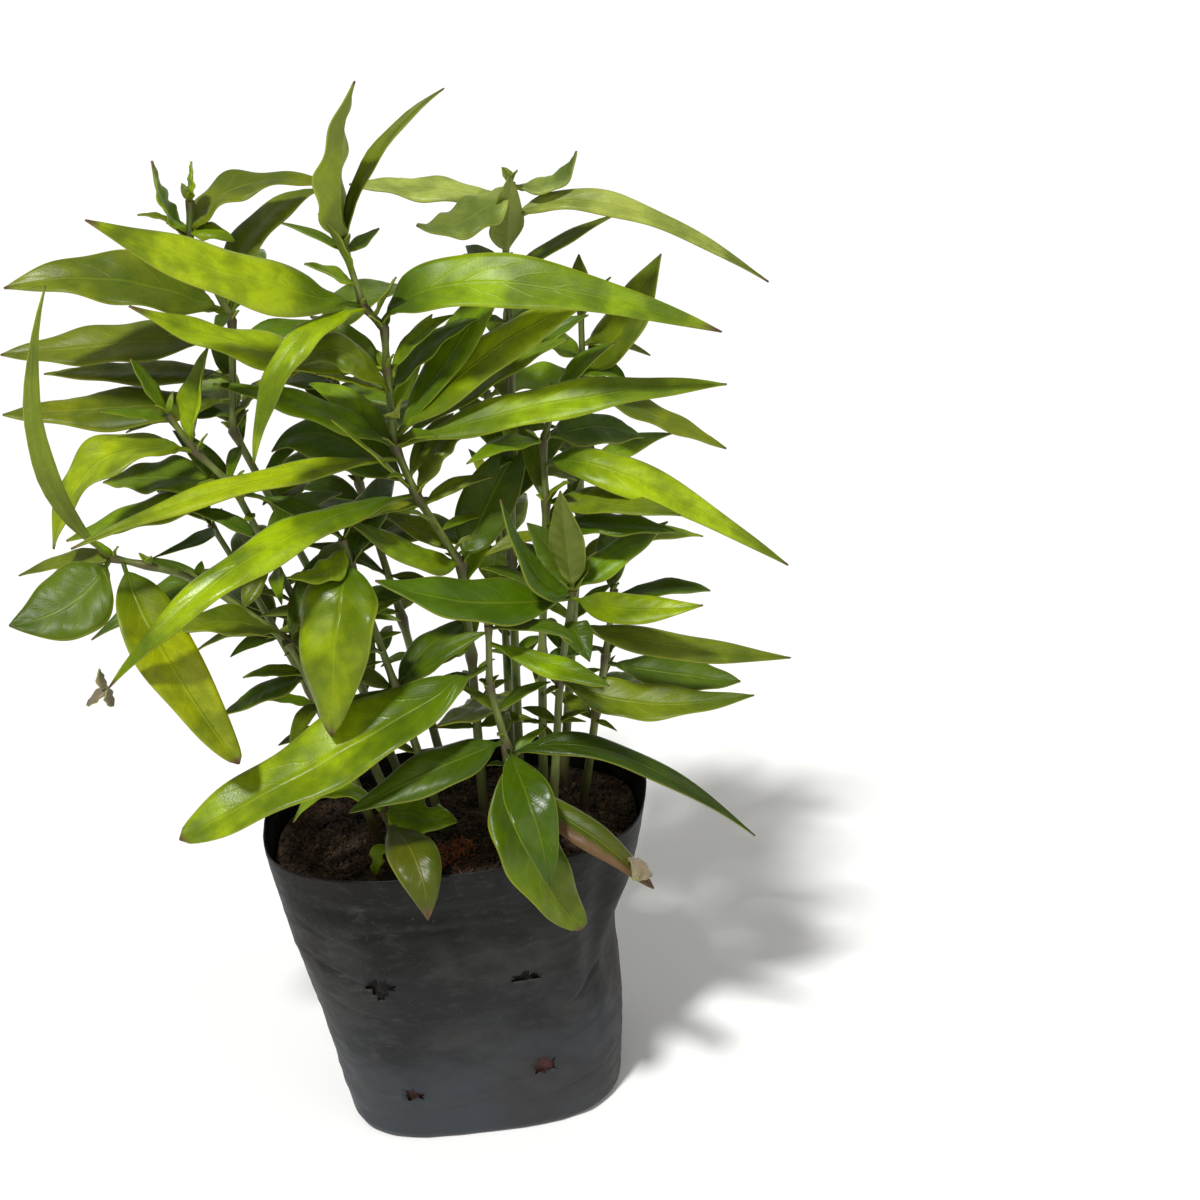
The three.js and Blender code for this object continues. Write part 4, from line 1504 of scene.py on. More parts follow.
    def relief(self, places: Array, level: Array) -> Array:
        """Fine shape of the film, in millimetres outwards: crests, dents and creases.

        Args:
            places: the film's points.
            level: of each point.

        Returns:
            How far each point moves outwards.
        """
        found = sum(ridge.lift(places) for ridge in self.ridges)
        found += self.billows.lift(places) - self.sink
        found += smoothstep(*self.mouth, level) * self.flutter.lift(places)
        found += (1 - smoothstep(*self.gathers, level)) * self.pleats.lift(places)
        for number, crease in enumerate(self.creases):
            found -= crease.dip(places, 40 + number)
        for hole in self.drain_holes:
            x, z = places[..., 0] - hole.x, places[..., 2] - hole.z
            star = np.cos(5 * np.arctan2(z, x) + hole.x)
            found += hump(np.hypot(x, z), self.pucker_wide) * (self.rays * star + self.pucker)
        return np.maximum(found, -self.deepest_dent) * smoothstep(0, 0.03, level)

    def outline(self, turn: Array, seed: float) -> Array:
        """Radius of a torn hole's edge for each direction from its middle."""
        torn = sum(deep * np.sin(count * turn + k * seed)
                   for k, (count, deep) in enumerate(self.tears, 1))
        return self.drain_radius * (self.hole_edge + torn)

    def build(self, material: Material) -> None:
        """Args:
            material: finish of the film.
        """
        angles = np.linspace(0, FULL_TURN, self.columns, endpoint=False)
        levels = np.concatenate([
            [0], self.foot_level * np.linspace(0.08, 1, self.foot_rows),
            np.linspace(self.foot_level, 1, self.rows - self.foot_rows)[1:]])
        level, angle = np.meshgrid(levels, angles, indexing="ij")
        places = self.points(level, angle)
        out = (places - self.middle(level)) * np.array([1, 1, 0])
        out /= np.linalg.norm(out, axis=-1, keepdims=True)
        places = places + out * self.relief(places, level)[..., None]
        places, gone = self.torn(places)
        centre = self.middle(np.zeros(1))
        floor = [(places[0] - centre) * np.array([part, part, 0]) + centre
                 for part in self.floor_rings]
        piece = self.skin(np.concatenate([np.array(floor), places]), gone, material)
        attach(piece, BODY)
        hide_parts("poly_bag")
        log.info("bag: %d faces before its thickness", len(piece.data.polygons))

    def torn(self, places: Array) -> tuple[Array, Array]:
        """Finds what the punch tore away, and draws the edge of each hole tight.

        Args:
            places: the film's points.

        Returns:
            The moved points, and for each whether it lies inside a hole.
        """
        gone = np.zeros(places.shape[:2], bool)
        moved = places.copy()
        for number, hole in enumerate(self.drain_holes):
            x, z = places[..., 0] - hole.x, places[..., 2] - hole.z
            away = np.hypot(x, z)
            for back in (False, True):
                edge = hole.size * self.outline(np.arctan2(z, x), number + 2.5 * back)
                closed = number == self.flap_hole and not back
                open_here = (places[..., 1] > 0) == back
                open_here &= (z > self.flap_edge) | (not closed)
                gone |= open_here & (away < edge)
                rim = open_here & (away >= edge) & (away < edge + self.snap)
                scale = (edge / np.maximum(away, 0.1))[rim]
                moved[..., 0][rim] = hole.x + x[rim] * scale
                moved[..., 2][rim] = hole.z + z[rim] * scale
        return moved, gone

    def skin(self, grid: Array, gone: Array,
             material: Material) -> Object:
        """Makes the film's mesh, leaving out torn faces, and gives it its thickness.

        Args:
            grid: the base's rings and then the rows up the bag.
            gone: for each point up the bag, whether it lies in a hole.
            material: finish of the film.

        Returns:
            The bag.
        """
        rows, columns = grid.shape[:2]
        floor_rows = rows - gone.shape[0]
        faces = [tuple(range(columns - 1, -1, -1))]
        for r in range(rows - 1):
            for c in range(columns):
                n = (c + 1) % columns
                corners = [(r, c), (r, n), (r + 1, n), (r + 1, c)]
                if not any(gone[a - floor_rows, b] for a, b in corners if a >= floor_rows):
                    faces.append(tuple(a * columns + b for a, b in corners))
        mesh = bpy.data.meshes.new("bag_film")
        mesh.from_pydata([tuple(p) for p in grid.reshape(-1, 3) * MM], [], faces)
        mesh.materials.append(material)
        drop_parts(mesh, "verts", lambda vert: not vert.link_faces)
        mesh.shade_smooth()
        piece = linked("bag_film", mesh)
        thickness = piece.modifiers.new("thickness", "SOLIDIFY")
        thickness.thickness = self.film * MM
        thickness.offset = -1
        return piece


@dataclass(frozen=True)
class Litter:
    """Small things strewn over the mix.

    Args:
        name: the piece's name.
        per_cm2: how many lie on a square centimetre.
        seed: of their scatter.
        sizes: least and most by which one is scaled.
        turns, bend: turns to the metre of the noise that bends them, and its widest move.
    """

    name: str
    per_cm2: float
    seed: int
    sizes: Span
    turns: float
    bend: float

    def grow(self, host: Object, material: Material) -> Object:
        """Strews them over a host, as one mesh.

        Args:
            host: what they are strewn over.
            material: their finish.

        Returns:
            The piece.
        """
        grown = Growth(self.name)
        grown.finish(self.skin(grown), material)
        return grown.grow(self.name, host, self.inputs())

    def skin(self, grown: Growth) -> Socket:
        """Their surface, which each kind makes in its own way."""
        raise NotImplementedError

    def inputs(self) -> dict[str, float]:
        """A value for each named input of their tree."""
        return {"Pieces per square metre": self.per_cm2 * PER_CM2, "Seed": self.seed}


@dataclass(frozen=True)
class Fibres(Litter):
    """Coir fibres of a length and a half thickness, in millimetres."""

    sizes: Span = (0.45, 1.2)
    turns: float = 300
    bend: float = 1.6
    long: float = 5.0
    radius: float = 0.11

    def skin(self, grown: Growth) -> Socket:
        """Lays thin bent tubes at random."""
        hair = grown.node("CurveQuadraticBezier", {
            "Resolution": 6, "Start": (-0.5, 0, 0), "Middle": (0.05, 0.22, 0.35),
            "End": (0.5, 0, 0)})
        size = grown.vectors("SCALE", {0: grown.random_vector(*self.sizes, 4),
                                       "Scale": grown.size("Length")})
        bent = grown.shaken(grown.strewn(hair.outputs[0], 3, size), self.turns, self.bend)
        ring = grown.node("CurvePrimitiveCircle", {"Resolution": 3, "Radius": self.radius * MM})
        skin = grown.node("CurveToMesh", {"Curve": bent, "Profile Curve": ring.outputs[0]})
        return skin.outputs[0]

    def inputs(self) -> dict[str, float]:
        """A value for each named input of their tree, the length among them."""
        return {**super().inputs(), "Length": self.long * MM}


@dataclass(frozen=True)
class Crumbs(Litter):
    """Crumbs of coir and peat, whose sizes are their radii in millimetres."""

    sizes: Span = (0.25, 1.25)
    turns: float = 900
    bend: float = 0.9

    def skin(self, grown: Growth) -> Socket:
        """Lays small ragged balls at random."""
        ball = grown.node("MeshIcoSphere", {"Radius": 1.0, "Subdivisions": 1})
        least, most = self.sizes
        size = grown.random_vector(least * MM, most * MM, 2)
        return grown.shaken(grown.strewn(ball.outputs[0], 1, size), self.turns, self.bend)


@dataclass
class PottingMix:
    """The mix that fills the bag, with crumbs and fibres on its top.

    Args:
        bag: the bag that it fills.
        level: how far up the bag it comes, from 0 to 1.
        inset: how far inside the film it stays.
        crown: how much higher its middle is than its edge.
        columns, side_rows, top_rows: points round it, up its side and across its top.
        host_rows: points across the sheets that its crumbs and fibres are strewn on.
        innermost: size of the smallest ring of points.
        fine: the fine lumps of its top.
        fibre_reach, crumb_reach: how near the film the fibres and the crumbs come, from 0 to 1.
        clump, clump_radius, clump_height: place and sizes of the coir clump.
        crumbs, fibres, coir: what lies on its top, and on the clump.
    """

    bag: Bag
    level: float = 0.9
    inset: float = 1.15
    crown: float = 2.5
    columns: int = 170
    side_rows: int = 46
    top_rows: int = 54
    host_rows: int = 30
    innermost: float = 0.02
    fine: tuple[Swell, ...] = (Swell(0.9, (0.35, 0.35, 1), 3), Swell(0.5, (0.9, 0.9, 1), 7))
    fibre_reach: float = 0.96
    crumb_reach: float = 0.98
    clump: Span = (-2, -17)
    clump_radius: float = 6.5
    clump_height: float = 5.5
    crumbs: Crumbs = Crumbs("mix_crumbs", 62, 5)
    fibres: Fibres = Fibres("mix_fibres", 16, 17)
    coir: Fibres = Fibres("coir_clump", 420, 23, long=3.4)

    def lumps(self, places: Array, part: Array) -> Array:
        """Height of the top's lumps, of the coir clump and of the low crown.

        Args:
            places: points of the top.
            part: of each, from 0 in the middle to 1 at the film.

        Returns:
            How far each point rises, in millimetres.
        """
        x, y = places[..., 0], places[..., 1]
        broad = 1.1 * np.sin(0.29 * x + 1) * np.cos(0.33 * y)
        broad += 0.7 * np.sin(0.61 * x - 0.47 * y)
        flat = places * np.array([1, 1, 0])
        fine = sum(swell.lift(flat) for swell in self.fine)
        away = np.hypot(x - self.clump[0], y - self.clump[1])
        heap = self.clump_height * hump(away, self.clump_radius)
        return (broad + fine + heap) * smoothstep(0, 0.12, 1 - part) + self.crown * (1 - part)

    def ring(self, numbers: Array) -> tuple[Array, Array]:
        """Crosses numbers, a row for each, with the angles round the mix."""
        angles = np.linspace(0, FULL_TURN, self.columns, endpoint=False)
        return tuple(np.meshgrid(numbers, angles, indexing="ij"))

    def top(self, widest: float, rows: int) -> Array:
        """Points of the top, in millimetres.

        Args:
            widest: size of the first ring, from 0 in the middle to 1 at the film.
            rows: how many rings there are.

        Returns:
            The points, a row for each ring.
        """
        part, angle = self.ring(np.linspace(widest, self.innermost, rows))
        places = self.bag.points(np.full(part.shape, self.level), angle, self.inset)
        places[..., :2] *= part[..., None]
        places[..., 2] += self.lumps(places, part)
        return places

    def build(self, block: Material, crumb: Material,
              fibre: Material, coir: Material) -> None:
        """Args:
            block: finish of the block.
            crumb: finish of the crumbs.
            fibre: finish of the fibres.
            coir: finish of the coir clump.
        """
        level, angle = self.ring(np.linspace(0, self.level, self.side_rows))
        sides = self.bag.points(level, angle, self.inset)
        sides[0, :, 2] = self.inset
        sheet = Sheet()
        sheet.grid(np.concatenate([sides, self.top(1, self.top_rows)[1:]]))
        pieces = [
            sheet.object("mix_block", block),
            self.crumbs.grow(self.host("crumb_host", self.crumb_reach), crumb),
            self.fibres.grow(self.host("fibre_host", self.fibre_reach), fibre),
            self.coir.grow(self.clump_host(), coir),
        ]
        for piece in pieces:
            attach(piece, BODY)
            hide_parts("potting_mix")
            log.info("%s: %d faces", piece.name, len(piece.data.polygons))

    def host(self, name: str, widest: float) -> Object:
        """The top of the mix as an open sheet, for what lies on it.

        Args:
            name: the sheet's name.
            widest: how near the film it comes, from 0 to 1.

        Returns:
            The sheet, linked until its tree has run.
        """
        sheet = Sheet()
        sheet.grid(self.top(widest, self.host_rows))
        mesh = bpy.data.meshes.new(name)
        mesh.from_pydata(sheet.verts, [], [face for face in sheet.faces if len(face) == 4])
        return linked(name, mesh)

    def clump_host(self) -> Object:
        """The part of the top under the coir clump."""
        host = self.host("clump_host", self.fibre_reach)
        middle = Vector((*self.clump, 0)) * MM
        reach = self.clump_radius * MM * 0.8
        drop_parts(host.data, "faces",
                   lambda face: (face.calc_center_median() - middle).xy.length > reach)
        return host


@dataclass
class Studio:
    """Floor, soft light and the camera of the photograph.

    Args:
        eye: place of the camera, in millimetres.
        pitch: how far it looks down, in degrees.
        tilt: how far it is turned about its own axis, in degrees.
        focal_pixels: distance from eye to picture, in pixels of the photograph.
        picture_pixels: width of the photograph.
        sensor: width of the camera's sensor.
        floor_side: side of the floor, in metres.
        key_place, key_angle, key_strength: the sun, and how many degrees wide it is.
        fill_place, fill_side, fill_watts: a weak square light, in metres.
        fill_aim: what that light faces, in metres.
        sky, sky_strength: colour and strength of the light all round.
    """

    eye: Point = (43.2, -441.0, 379.0)
    pitch: float = 28.1
    tilt: float = 6.76
    focal_pixels: float = 2000
    picture_pixels: float = 1200
    sensor: float = 36
    floor_side: float = 8
    key_place: Point = (-0.20, -0.42, 1.0)
    key_angle: float = 6
    key_strength: float = 3.1
    fill_place: Point = (0.95, -0.65, 0.75)
    fill_side: float = 1.0
    fill_watts: float = 3
    fill_aim: Point = (0, 0, 0.14)
    sky: Colour = (1.0, 0.985, 0.96)
    sky_strength: float = 0.42

    def build(self, floor: Material) -> None:
        """Sets up everything that isn't the object."""
        self.camera()
        self.floor(floor)
        self.lights()

    def camera(self) -> None:
        """Puts the camera where the photograph was taken from."""
        data = bpy.data.cameras.new("camera")
        data.sensor_width = self.sensor
        data.lens = self.sensor * self.focal_pixels / self.picture_pixels
        data.clip_start = 0.01
        pitch, tilt = math.radians(self.pitch), math.radians(self.tilt)
        ahead = Vector((0, math.cos(pitch), -math.sin(pitch)))
        right = Vector((1, 0, 0))
        down = Vector((0, -math.sin(pitch), -math.cos(pitch)))
        x_axis = right * math.cos(tilt) + down * math.sin(tilt)
        y_axis = right * math.sin(tilt) - down * math.cos(tilt)
        turn = Matrix((x_axis, y_axis, -ahead)).transposed()
        camera = linked("camera", data)
        camera.matrix_world = Matrix.Translation(Vector(self.eye) * MM) @ turn.to_4x4()
        bpy.context.scene.camera = camera

    def floor(self, material: Material) -> None:
        """Lays the plain pale floor."""
        side = self.floor_side / 2
        mesh = bpy.data.meshes.new("floor")
        mesh.from_pydata([(-side, -side, 0), (side, -side, 0), (side, side, 0),
                          (-side, side, 0)], [], [(0, 1, 2, 3)])
        mesh.materials.append(material)
        linked("floor", mesh)

    def lights(self) -> None:
        """Hangs a broad key light above the front and a weak fill, under a pale sky."""
        key = self.light("key", "SUN", self.key_place, (0, 0, 0), self.key_strength)
        key.angle = math.radians(self.key_angle)
        fill = self.light("fill", "AREA", self.fill_place, self.fill_aim, self.fill_watts)
        fill.size = self.fill_side
        bpy.context.scene.view_settings.view_transform = "Standard"
        world = bpy.data.worlds.new("sky")
        world.use_nodes = True
        sky = world.node_tree.nodes["Background"]
        sky.inputs["Color"].default_value = full_colour(self.sky)
        sky.inputs["Strength"].default_value = self.sky_strength
        bpy.context.scene.world = world

    def light(self, name: str, kind: str, place: Point, aim: Point,
              energy: float) -> bpy.types.Light:
        """Hangs one light.

        Args:
            name: its name.
            kind: its kind, as Blender names it.
            place: where it hangs, in metres.
            aim: what it faces, in metres.
            energy: its strength, or its watts.

        Returns:
            The light's data.
        """
        data = bpy.data.lights.new(name, kind)
        data.energy = energy
        light = linked(name, data)
        light.location = place
        way = Vector(aim) - Vector(place)
        light.rotation_euler = way.to_track_quat("-Z", "Y").to_euler()
        return data


STEMS = (
    LeafyStem(
        "stem_crown", Tone.FRESH, "green_leaf",
        ((6, 5), (9, 4, 130), (10, 2, 157), (2, 0, 178), (-1, 0, 191),
         (0, 0, 211), (1, 0, 221), (-3, 0, 227), (-5, 0, 241)),
        (
            Leaf(241, (-6, -2, 260), (4, -8, 280), 16, face=20, fold=0.35, tone=Tone.BRIGHT),
            Leaf(241, (-1, 6, 261), (22, 10, 272), 4.8, fold=0.4, tone=Tone.OLIVE),
            Leaf(240, (-10, 1, 245), (-19, 3, 248), 3),
            Leaf(240, (-2, 2, 242), (3, 6, 243), 4),
            Leaf(234, (-6, -2, 243), (-9, -4, 251), 4, fold=0.6),
            Leaf(227, (-29, -17, 242), (-55, -26, 262), 15,
                 face=40, tone=Tone.BRIGHT, dry=0.06, green=0.3),
            Leaf(232, (-8, -2, 236), (-14, -4, 240), 7),
            Leaf(224, (2, -2, 229), (6, -6, 235), 5),
            Leaf(226, (-20, -28, 236), (-31, -24, 201), 8, tone=Tone.BRIGHT, gloss=0.6),
            Leaf(222, (14, -10, 244), (78, -12, 215), 14.5,
                 face=35, tone=Tone.BRIGHT, dry=0.07, blunt=0.2, green=0.42),
            Leaf(211, (-31, -2, 218), (-55, -4, 235), 13, tone=Tone.BRIGHT, dry=0.12, gloss=0.1),
            Leaf(205, (-6, -4, 211), (-15, -11, 216), 4, tone=Tone.BRIGHT),
            Leaf(193, (19, 10, 216), (33, 12, 230), 11, face=20),
            Leaf(193, (25, 3, 216), (51, 2, 222), 12, face=30, tone=Tone.BRIGHT),
            Leaf(191, (40, -7, 204), (79, -2, 198), 11, face=30, tone=Tone.BRIGHT),
            Leaf(192, (29, 13, 205), (43, 14, 208), 9),
            Leaf(191, (-18, 5, 204), (-43, 12, 208), 9),
            Leaf(188, (-34, -18, 197), (-74, -31, 189), 8, fold=0.35, tone=Tone.BRIGHT, dry=0.05),
            Leaf(179, (-5, -4, 191), (-14, -9, 204), 4, tone=Tone.BRIGHT),
            Leaf(178, (-36, -32, 192), (-70, -43, 159), 11.5,
                 tone=Tone.BRIGHT, dry=0.04, gloss=0.7, green=0.3),
            Leaf(178, (-73, -43, 158), (-76, -43, 155), 4,
                 tone=Tone.HUSK, blunt=1, root=(-70.3, -43, 158.8)),
            Leaf(178, (-72, -43, 161), (-71, -43, 164), 3.4,
                 tone=Tone.HUSK, root=(-70.3, -43, 158.8)),
            Leaf(178, (-71, -43, 157), (-70, -43, 154), 4,
                 tone=Tone.HUSK, blunt=1, root=(-70.3, -43, 158.8)),
            Leaf(205, (-6, -16, 229), (-19, -8, 217), 12, face=30, tone=Tone.OLIVE),
            Leaf(204, (8, 8, 216), (23, 8, 218), 8, tone=Tone.DEEP_GREEN_AND_SHADE),
            Leaf(179, (-20, 20, 198), (-33, 16, 187), 15, face=30, tone=Tone.DEEP_GREEN_AND_SHADE),
            Leaf(177, (8, 2, 196), (18, 4, 191), 10, tone=Tone.OLIVE),
            Leaf(157, (2, -5, 161), (-16, -8, 179), 9, face=25),
            Leaf(157, (18, 12, 170), (31, 14, 186), 14, face=40, tone=Tone.DEEP_GREEN_AND_SHADE),
        )),
    LeafyStem(
        "stem_right_top", Tone.OLIVE, "green_leaf",
        ((16, 12), (22, 17, 150), (29, 20, 205), (30, 20, 226), (34, 20, 246)),
        (
            Leaf(236, (50, 16, 251), (92, 12, 217), 8, face=25, fold=0.5, tone=Tone.YOUNG),
            Leaf(245, (47, 23, 241), (50, 22, 251), 8, tone=Tone.YOUNG),
            Leaf(229, (32, 17, 237), (34, 12, 250), 9, face=0, fold=0.35, tone=Tone.YOUNG),
            Leaf(246, (24, 10, 239), (12, 0, 242), 12, tone=Tone.YOUNG, blunt=0.6, hook=2.5),
            Leaf(242, (13, 30, 245), (-4, 24, 249), 11, tone=Tone.YOUNG),
            Leaf(223, (44, 29, 228), (58, 34, 231), 5),
            Leaf(188, (27, 15, 187), (27, 8, 182), 6, fold=0.4, tone=Tone.BRIGHT),
            Leaf(112, (11, -15, 125), (1, -32, 132), 9),
            Leaf(205, (36, 38, 216), (46, 64, 198), 12, tone=Tone.FRESH),
            Leaf(224, (22, 36, 227), (10, 60, 212), 10, tone=Tone.FRESH),
        )),
    LeafyStem(
        "stem_left_back", Tone.OLIVE, "shaded_leaf",
        ((-14, 12), (-28, 15, 150), (-41, 15, 194), (-36, 15, 222), (-42, 15, 243),
         (-40, 15, 252)),
        (
            Leaf(243, (-35, 20, 259), (-7, 25, 249), 13),
            Leaf(252, (-39, 15, 256), (-38, 15, 261), 7, tone=Tone.FRESH),
            Leaf(245, (-47, 12, 250), (-46, 12, 263), 10, face=30, tone=Tone.FRESH, dry=0.2),
            Leaf(244, (-46, 14, 250), (-52, 12, 251), 3),
            Leaf(244, (-37, 14, 247), (-31, 12, 242), 6, tone=Tone.FRESH),
            Leaf(228, (-29, 26, 247), (-11, 34, 246), 11),
            Leaf(223, (-56, 6, 243), (-84, 4, 240), 16, face=35),
            Leaf(218, (-69, 22, 218), (-94, 22, 218), 14, face=20),
            Leaf(208, (-63, 26, 210), (-87, 30, 209), 10),
            Leaf(202, (-70, 12, 204), (-93, 8, 208), 16),
            Leaf(222, (-34, 33, 237), (-32, 60, 224), 11, tone=Tone.FRESH),
            Leaf(194, (-48, 35, 206), (-58, 64, 188), 12, tone=Tone.FRESH),
        )),
    LeafyStem(
        "stem_left_mid", Tone.FRESH, "green_leaf",
        ((-16, 0), (-28, 0, 140), (-41, 0, 186), (-48, 0, 196), (-53, 1, 206)),
        (
            Leaf(196, (-72, -10, 210), (-82, -17, 183), 15, tone=Tone.BRIGHT),
            Leaf(198, (-46, 2, 207), (-41, 4, 220), 9, fold=0.7, tone=Tone.BRIGHT),
            Leaf(206, (-56, 2, 214), (-59, 3, 220), 4),
            Leaf(205, (-58, -1, 208), (-67, -5, 211), 4),
            Leaf(187, (-61, 13, 187), (-75, 14, 185), 13),
            Leaf(184, (-65, 3, 181), (-84, 2, 176), 12),
            Leaf(178, (-38, -2, 179), (-38, -4, 178), 3, tone=Tone.OLD),
        )),
    LeafyStem(
        "stem_left_low", Tone.FRESH, "old_leaf",
        ((-22, -4), (-27, -9, 120), (-33, -14, 150), (-51, -15, 170), (-62, -15, 175),
         (-70, -15, 178)),
        (
            # Painted shade: the darker green near its root stands partly for the shade of the
            # leaf that crosses it.
            Leaf(177, (-63, -36, 163), (-45, -42, 134), 16,
                 face=0, tone=Tone.OLD, dry=0.04, blunt=0.9, green=0.34),
            Leaf(178, (-78, -24, 168), (-94, -26, 169), 19, face=35, tone=Tone.UNRIPE, gloss=0.1),
            Leaf(178, (-86, -36, 212), (-64, -36, 252), 5, tone=Tone.BRIGHT),
            Leaf(177, (-78, -11, 179), (-95, -6, 172), 6, tone=Tone.OLIVE),
            Leaf(166, (-55, -10, 170), (-66, -3, 172), 4, tone=Tone.DEEP_GREEN_AND_SHADE),
            Leaf(152, (-45, -20, 164), (-56, -26, 162), 9, face=30, tone=Tone.OLIVE),
            Leaf(160, (-39, -11, 165), (-35, -6, 167), 5, tone=Tone.OLIVE),
            Leaf(149, (-32, -12, 147), (-31, -10, 138), 7, tone=Tone.DEEP_GREEN_AND_SHADE),
            Leaf(138, (-40, -12, 137), (-54, -12, 130), 8, tone=Tone.DEEP_GREEN_AND_SHADE),
            Leaf(150, (-46, -8, 155), (-58, -8, 146), 3.4, tone=Tone.OLIVE),
        )),
    LeafyStem(
        "stem_centre_left", Tone.DEEP_GREEN_AND_SHADE, "old_leaf",
        ((-4, -6), (-10, -8, 130), (-15, -11, 167), (-16, -11, 174)),
        (
            # Painted shade: the darker green near its root stands partly for the shade of the
            # leaves above.
            Leaf(168, (-17, -32, 167), (-24, -33, 133), 20,
                 face=0, tone=Tone.OLD, dry=0.09, gloss=0.5, blunt=0.5, green=0.4),
            Leaf(167, (-11, 1, 179), (-4, 20, 176), 9),
            Leaf(174, (-23, -8, 182), (-34, -4, 184), 6),
            Leaf(172, (-18, -18, 167), (-29, -22, 171), 8, tone=Tone.BRIGHT),
            Leaf(130, (-23, -22, 134), (-32, -28, 126), 6),
            Leaf(130, (-1, 0, 140), (12, 12, 136), 9),
        )),
    LeafyStem(
        "stem_right_mid", Tone.FRESH, "green_leaf",
        ((22, 0), (27, -1, 130), (33, -2, 173), (34, 4, 186), (38, 8, 195)),
        (
            Leaf(181, (47, -12, 194), (89, -17, 156), 11,
                 face=30, tone=Tone.BRIGHT, gloss=0.6, green=0.36),
            Leaf(173, (45, -11, 178), (64, -24, 176), 9, tone=Tone.OLIVE),
            Leaf(167, (49, -16, 173), (63, -14, 167), 8, tone=Tone.DEEP_GREEN_AND_SHADE),
            Leaf(187, (49, 18, 185), (59, 16, 179), 12, face=30, tone=Tone.DEEP_GREEN_AND_SHADE),
            Leaf(195, (44, 9, 204), (54, 10, 207), 6),
            Leaf(186, (27, -2, 192), (16, -12, 190), 6),
        )),
    LeafyStem(
        "stem_centre_low", Tone.DEEP_GREEN_AND_SHADE, "shaded_leaf",
        ((24, -10), (31, -14, 130), (37, -15, 155)),
        (
            Leaf(154, (27, -24, 161), (23, -19, 183), 11, face=30),
            Leaf(155, (34, -12, 164), (28, -8, 171), 9),
            Leaf(155, (37, -16, 168), (37, -18, 183), 9, face=20),
            Leaf(155, (47, -9, 162), (62, 0, 163), 9, tone=Tone.FRESH),
            Leaf(153, (12, -29, 160), (-8, -27, 170), 14, face=30),
            Leaf(153, (49, -30, 154), (67, -30, 155), 9, face=30, tone=Tone.BRIGHT),
            Leaf(146, (61, -24, 141), (88, -18, 131), 8, face=30, tone=Tone.OLIVE),
            Leaf(146, (37, -18, 147), (39, -24, 140), 8, face=0),
            Leaf(130, (47, -26, 124), (78, -22, 124), 11, face=30, tone=Tone.OLIVE),
        )),
    LeafyStem(
        "stem_front_low", Tone.DEEP_GREEN_AND_SHADE, "old_leaf",
        ((12, -14), (16, -20, 116), (14, -20, 134), (16, -20, 151)),
        (
            Leaf(140, (-25, -35, 129), (-63, -42, 115), 20,
                 face=20, tone=Tone.BRIGHT, gloss=0.6, blunt=1, green=0.4),
            Leaf(146, (35, -31, 142), (43, -38, 141), 7, tone=Tone.FRESH),
            Leaf(150, (33, -26, 154), (36, -32, 150), 4.5),
            Leaf(118, (-1, -32, 122), (-23, -36, 113), 12, face=25),
            Leaf(116, (24, -45, 113), (23, -46, 92), 12, face=0, gloss=0.9),
            # Painted shade: the dark green near its root stands for the shadow that the leaf
            # above casts on it.
            Leaf(114, (14, -40, 98), (29, -40, 73), 18,
                 face=0, tone=Tone.OLIVE, gloss=0.5, blunt=1, green=0.8),
            Leaf(103, (36, -37, 103), (48, -40, 83), 9,
                 tone=Tone.DYING, dry=0.3, blunt=0.5, singed=1, green=0.4),
            Leaf(103, (47, -40, 91), (48, -40, 87), 8.5,
                 face=0, fold=-0.25, tone=Tone.HUSK, blunt=1, root=(42.5, -39, 92)),
            Leaf(113, (39, -22, 126), (75, -27, 86), 8, tone=Tone.SHADED, gloss=0.8),
        )),
    LeafyStem(
        "stem_right_low", Tone.DEEP_GREEN_AND_SHADE, "shaded_leaf",
        ((33, 3), (39, 0, 112), (43, -1, 128), (47, 0, 146)),
        (
            Leaf(126, (64, -6, 122), (76, -8, 120), 11),
            Leaf(144, (61, -9, 151), (70, -14, 150), 6),
            Leaf(145, (48, 10, 156), (50, 26, 152), 8),
            Leaf(111, (46, 10, 118), (58, 24, 104), 9),
        )),
    LeafyStem(
        "stem_back_right", Tone.FRESH, "shaded_leaf",
        ((28, 15), (38, 24, 140), (45, 29, 185), (47, 30, 210)),
        (
            Leaf(192, (58, 24, 204), (68, 30, 221), 14, face=30, fold=0.45, tone=Tone.OLIVE),
            Leaf(210, (47, 30, 215), (48, 31, 223), 6, tone=Tone.OLIVE),
            Leaf(207, (50, 28, 213), (55, 26, 218), 5, tone=Tone.OLIVE),
            Leaf(200, (53, 30, 202), (63, 30, 195), 6, tone=Tone.OLIVE),
            Leaf(192, (50, 27, 196), (56, 24, 192), 8),
            Leaf(189, (63, 27, 180), (80, 28, 168), 9, tone=Tone.OLIVE),
            Leaf(196, (41, 30, 203), (34, 32, 204), 8),
        ),
        Pairs((140,), heading=40, reach=46, wide=12, seed=11)),
    LeafyStem(
        "stem_back_left", Tone.UNRIPE, "shaded_leaf",
        ((-4, 20), (-10, 32, 128), (-16, 40, 165), (-18, 44, 192), (-19, 45, 204)),
        pairs=Pairs((150, 172, 190, 203), heading=150, reach=52, wide=13, seed=3)),
    LeafyStem(
        "stem_back_mid", Tone.FRESH, "green_leaf",
        ((14, 22), (17, 38, 122), (19, 48, 160), (20, 52, 182)),
        pairs=Pairs((140, 180), heading=90, reach=44, wide=12, seed=8)),
    LeafyStem(
        "stem_left_rear", Tone.UNRIPE, "shaded_leaf",
        ((-25, 8), (-36, 20, 116), (-47, 26, 146), (-54, 28, 164)),
        (
            Leaf(163, (-51, 14, 167), (-66, 10, 165), 4.5),
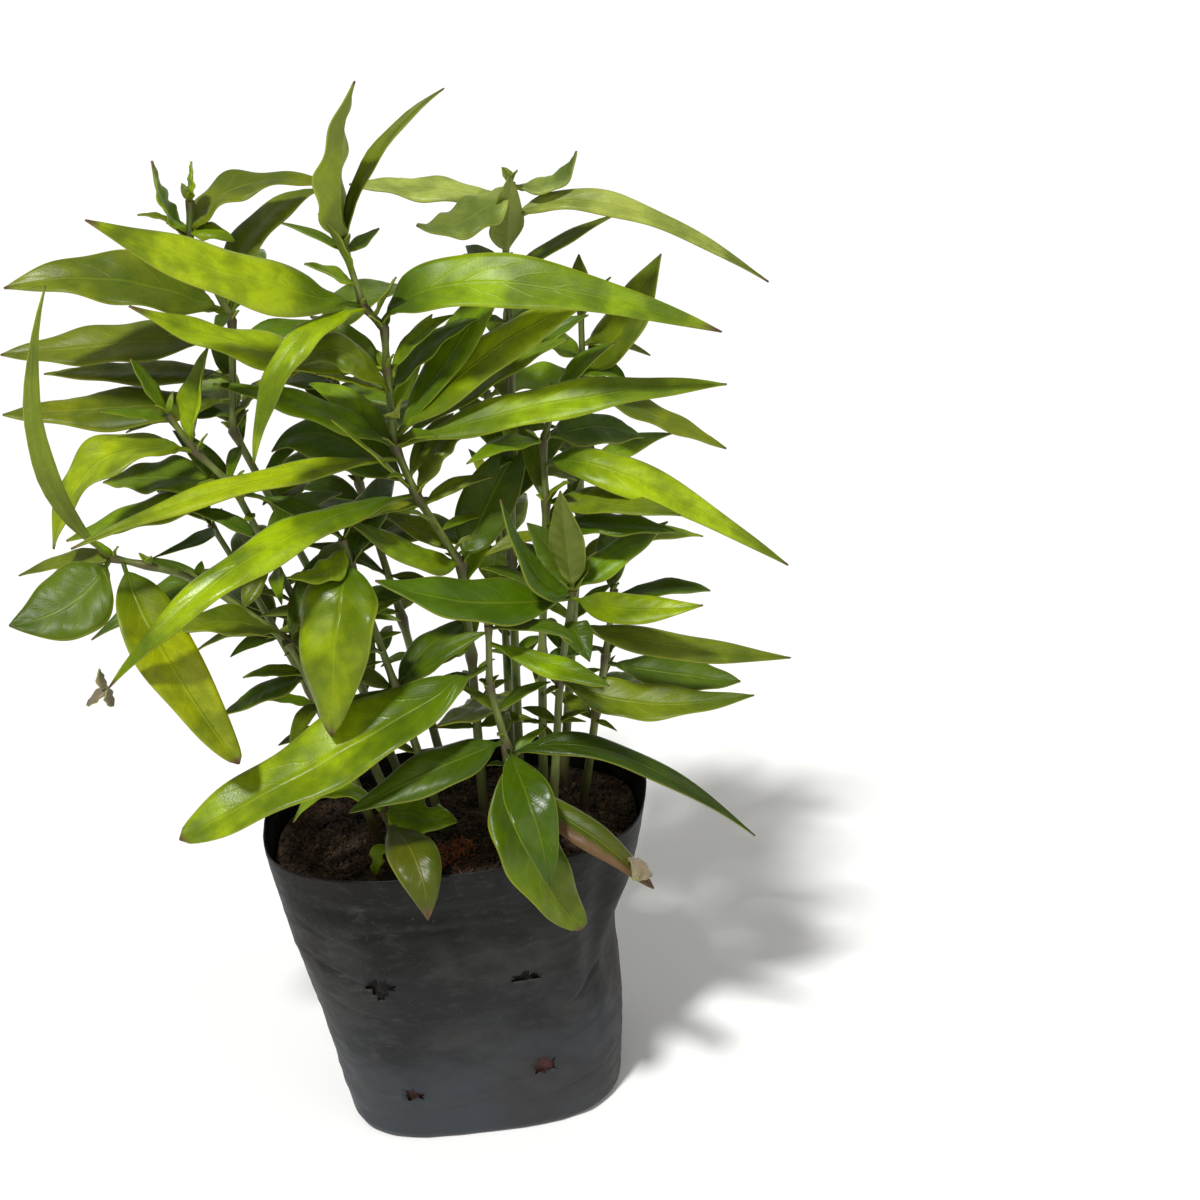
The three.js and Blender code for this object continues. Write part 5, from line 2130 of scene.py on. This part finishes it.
            Leaf(163, (-62, 37, 175), (-74, 50, 173), 10),
            Leaf(150, (-64, 21, 155), (-87, 12, 143), 9),
            Leaf(149, (-45, 40, 159), (-40, 60, 144), 12),
            Leaf(132, (-52, 37, 144), (-66, 58, 136), 11),
            Leaf(127, (-34, 31, 131), (-24, 44, 118), 10),
        )),
    LeafyStem(
        "stem_rim_sprout", Tone.DEEP_GREEN_AND_SHADE, "old_leaf",
        ((-15, -14), (-18, -15, 99)),
        (
            Leaf(98, (-10, -17, 99), (1, -20, 96), 14,
                 face=20, tone=Tone.FRESH, bites=((1, 0.62, 0.55), (-1, 0.4, 0.25))),
            Leaf(98, (-29, -17, 117), (-40, -19, 101), 7, tone=Tone.FRESH),
            Leaf(95, (-5, -42, 103), (-8, -42, 83), 12.5,
                 face=0, tone=Tone.DYING, dry=0.12, gloss=0.5),
            Leaf(89, (-22, -19, 89), (-22, -20, 82), 5,
                 tone=Tone.BRIGHT, bites=((1, 0.4, 0.6), (-1, 0.66, 0.6)), root=(-17.4, -16, 89)),
        )),
)


def main() -> None:
    """Builds the dressed plant and its studio."""
    logging.basicConfig(level=logging.INFO, format="%(name)s: %(message)s")
    log.info("dressing %d solids", len(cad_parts))
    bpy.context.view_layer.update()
    Studio().build(PlainFinish("floor", (0.82, 0.82, 0.81)).material())
    bag = Bag()
    bag.build(FilmFinish().material())
    PottingMix(bag).build(
        MixFinish("mix_block").material(),
        MixFinish("mix_crumbs", brown=(0.040, 0.021, 0.010)).material(),
        MixFinish("mix_fibre", dark=(0.060, 0.030, 0.012), brown=(0.130, 0.070, 0.028),
                  red=(0.24, 0.150, 0.065)).material(),
        # Painted light: the coir clump's colours are several times lighter than the rest of the
        # mix, so that it shows bright in the shade of the leaves.
        MixFinish("coir_fibre_painted_light", dark=(0.260, 0.080, 0.028), brown=(0.480, 0.140, 0.045),
                  red=(0.62, 0.240, 0.090)).material())
    leaf = LeafFinish().material()
    stem = StemFinish().material()
    for one in STEMS:
        one.build(leaf, stem)


if __name__ == "__main__":
    main()
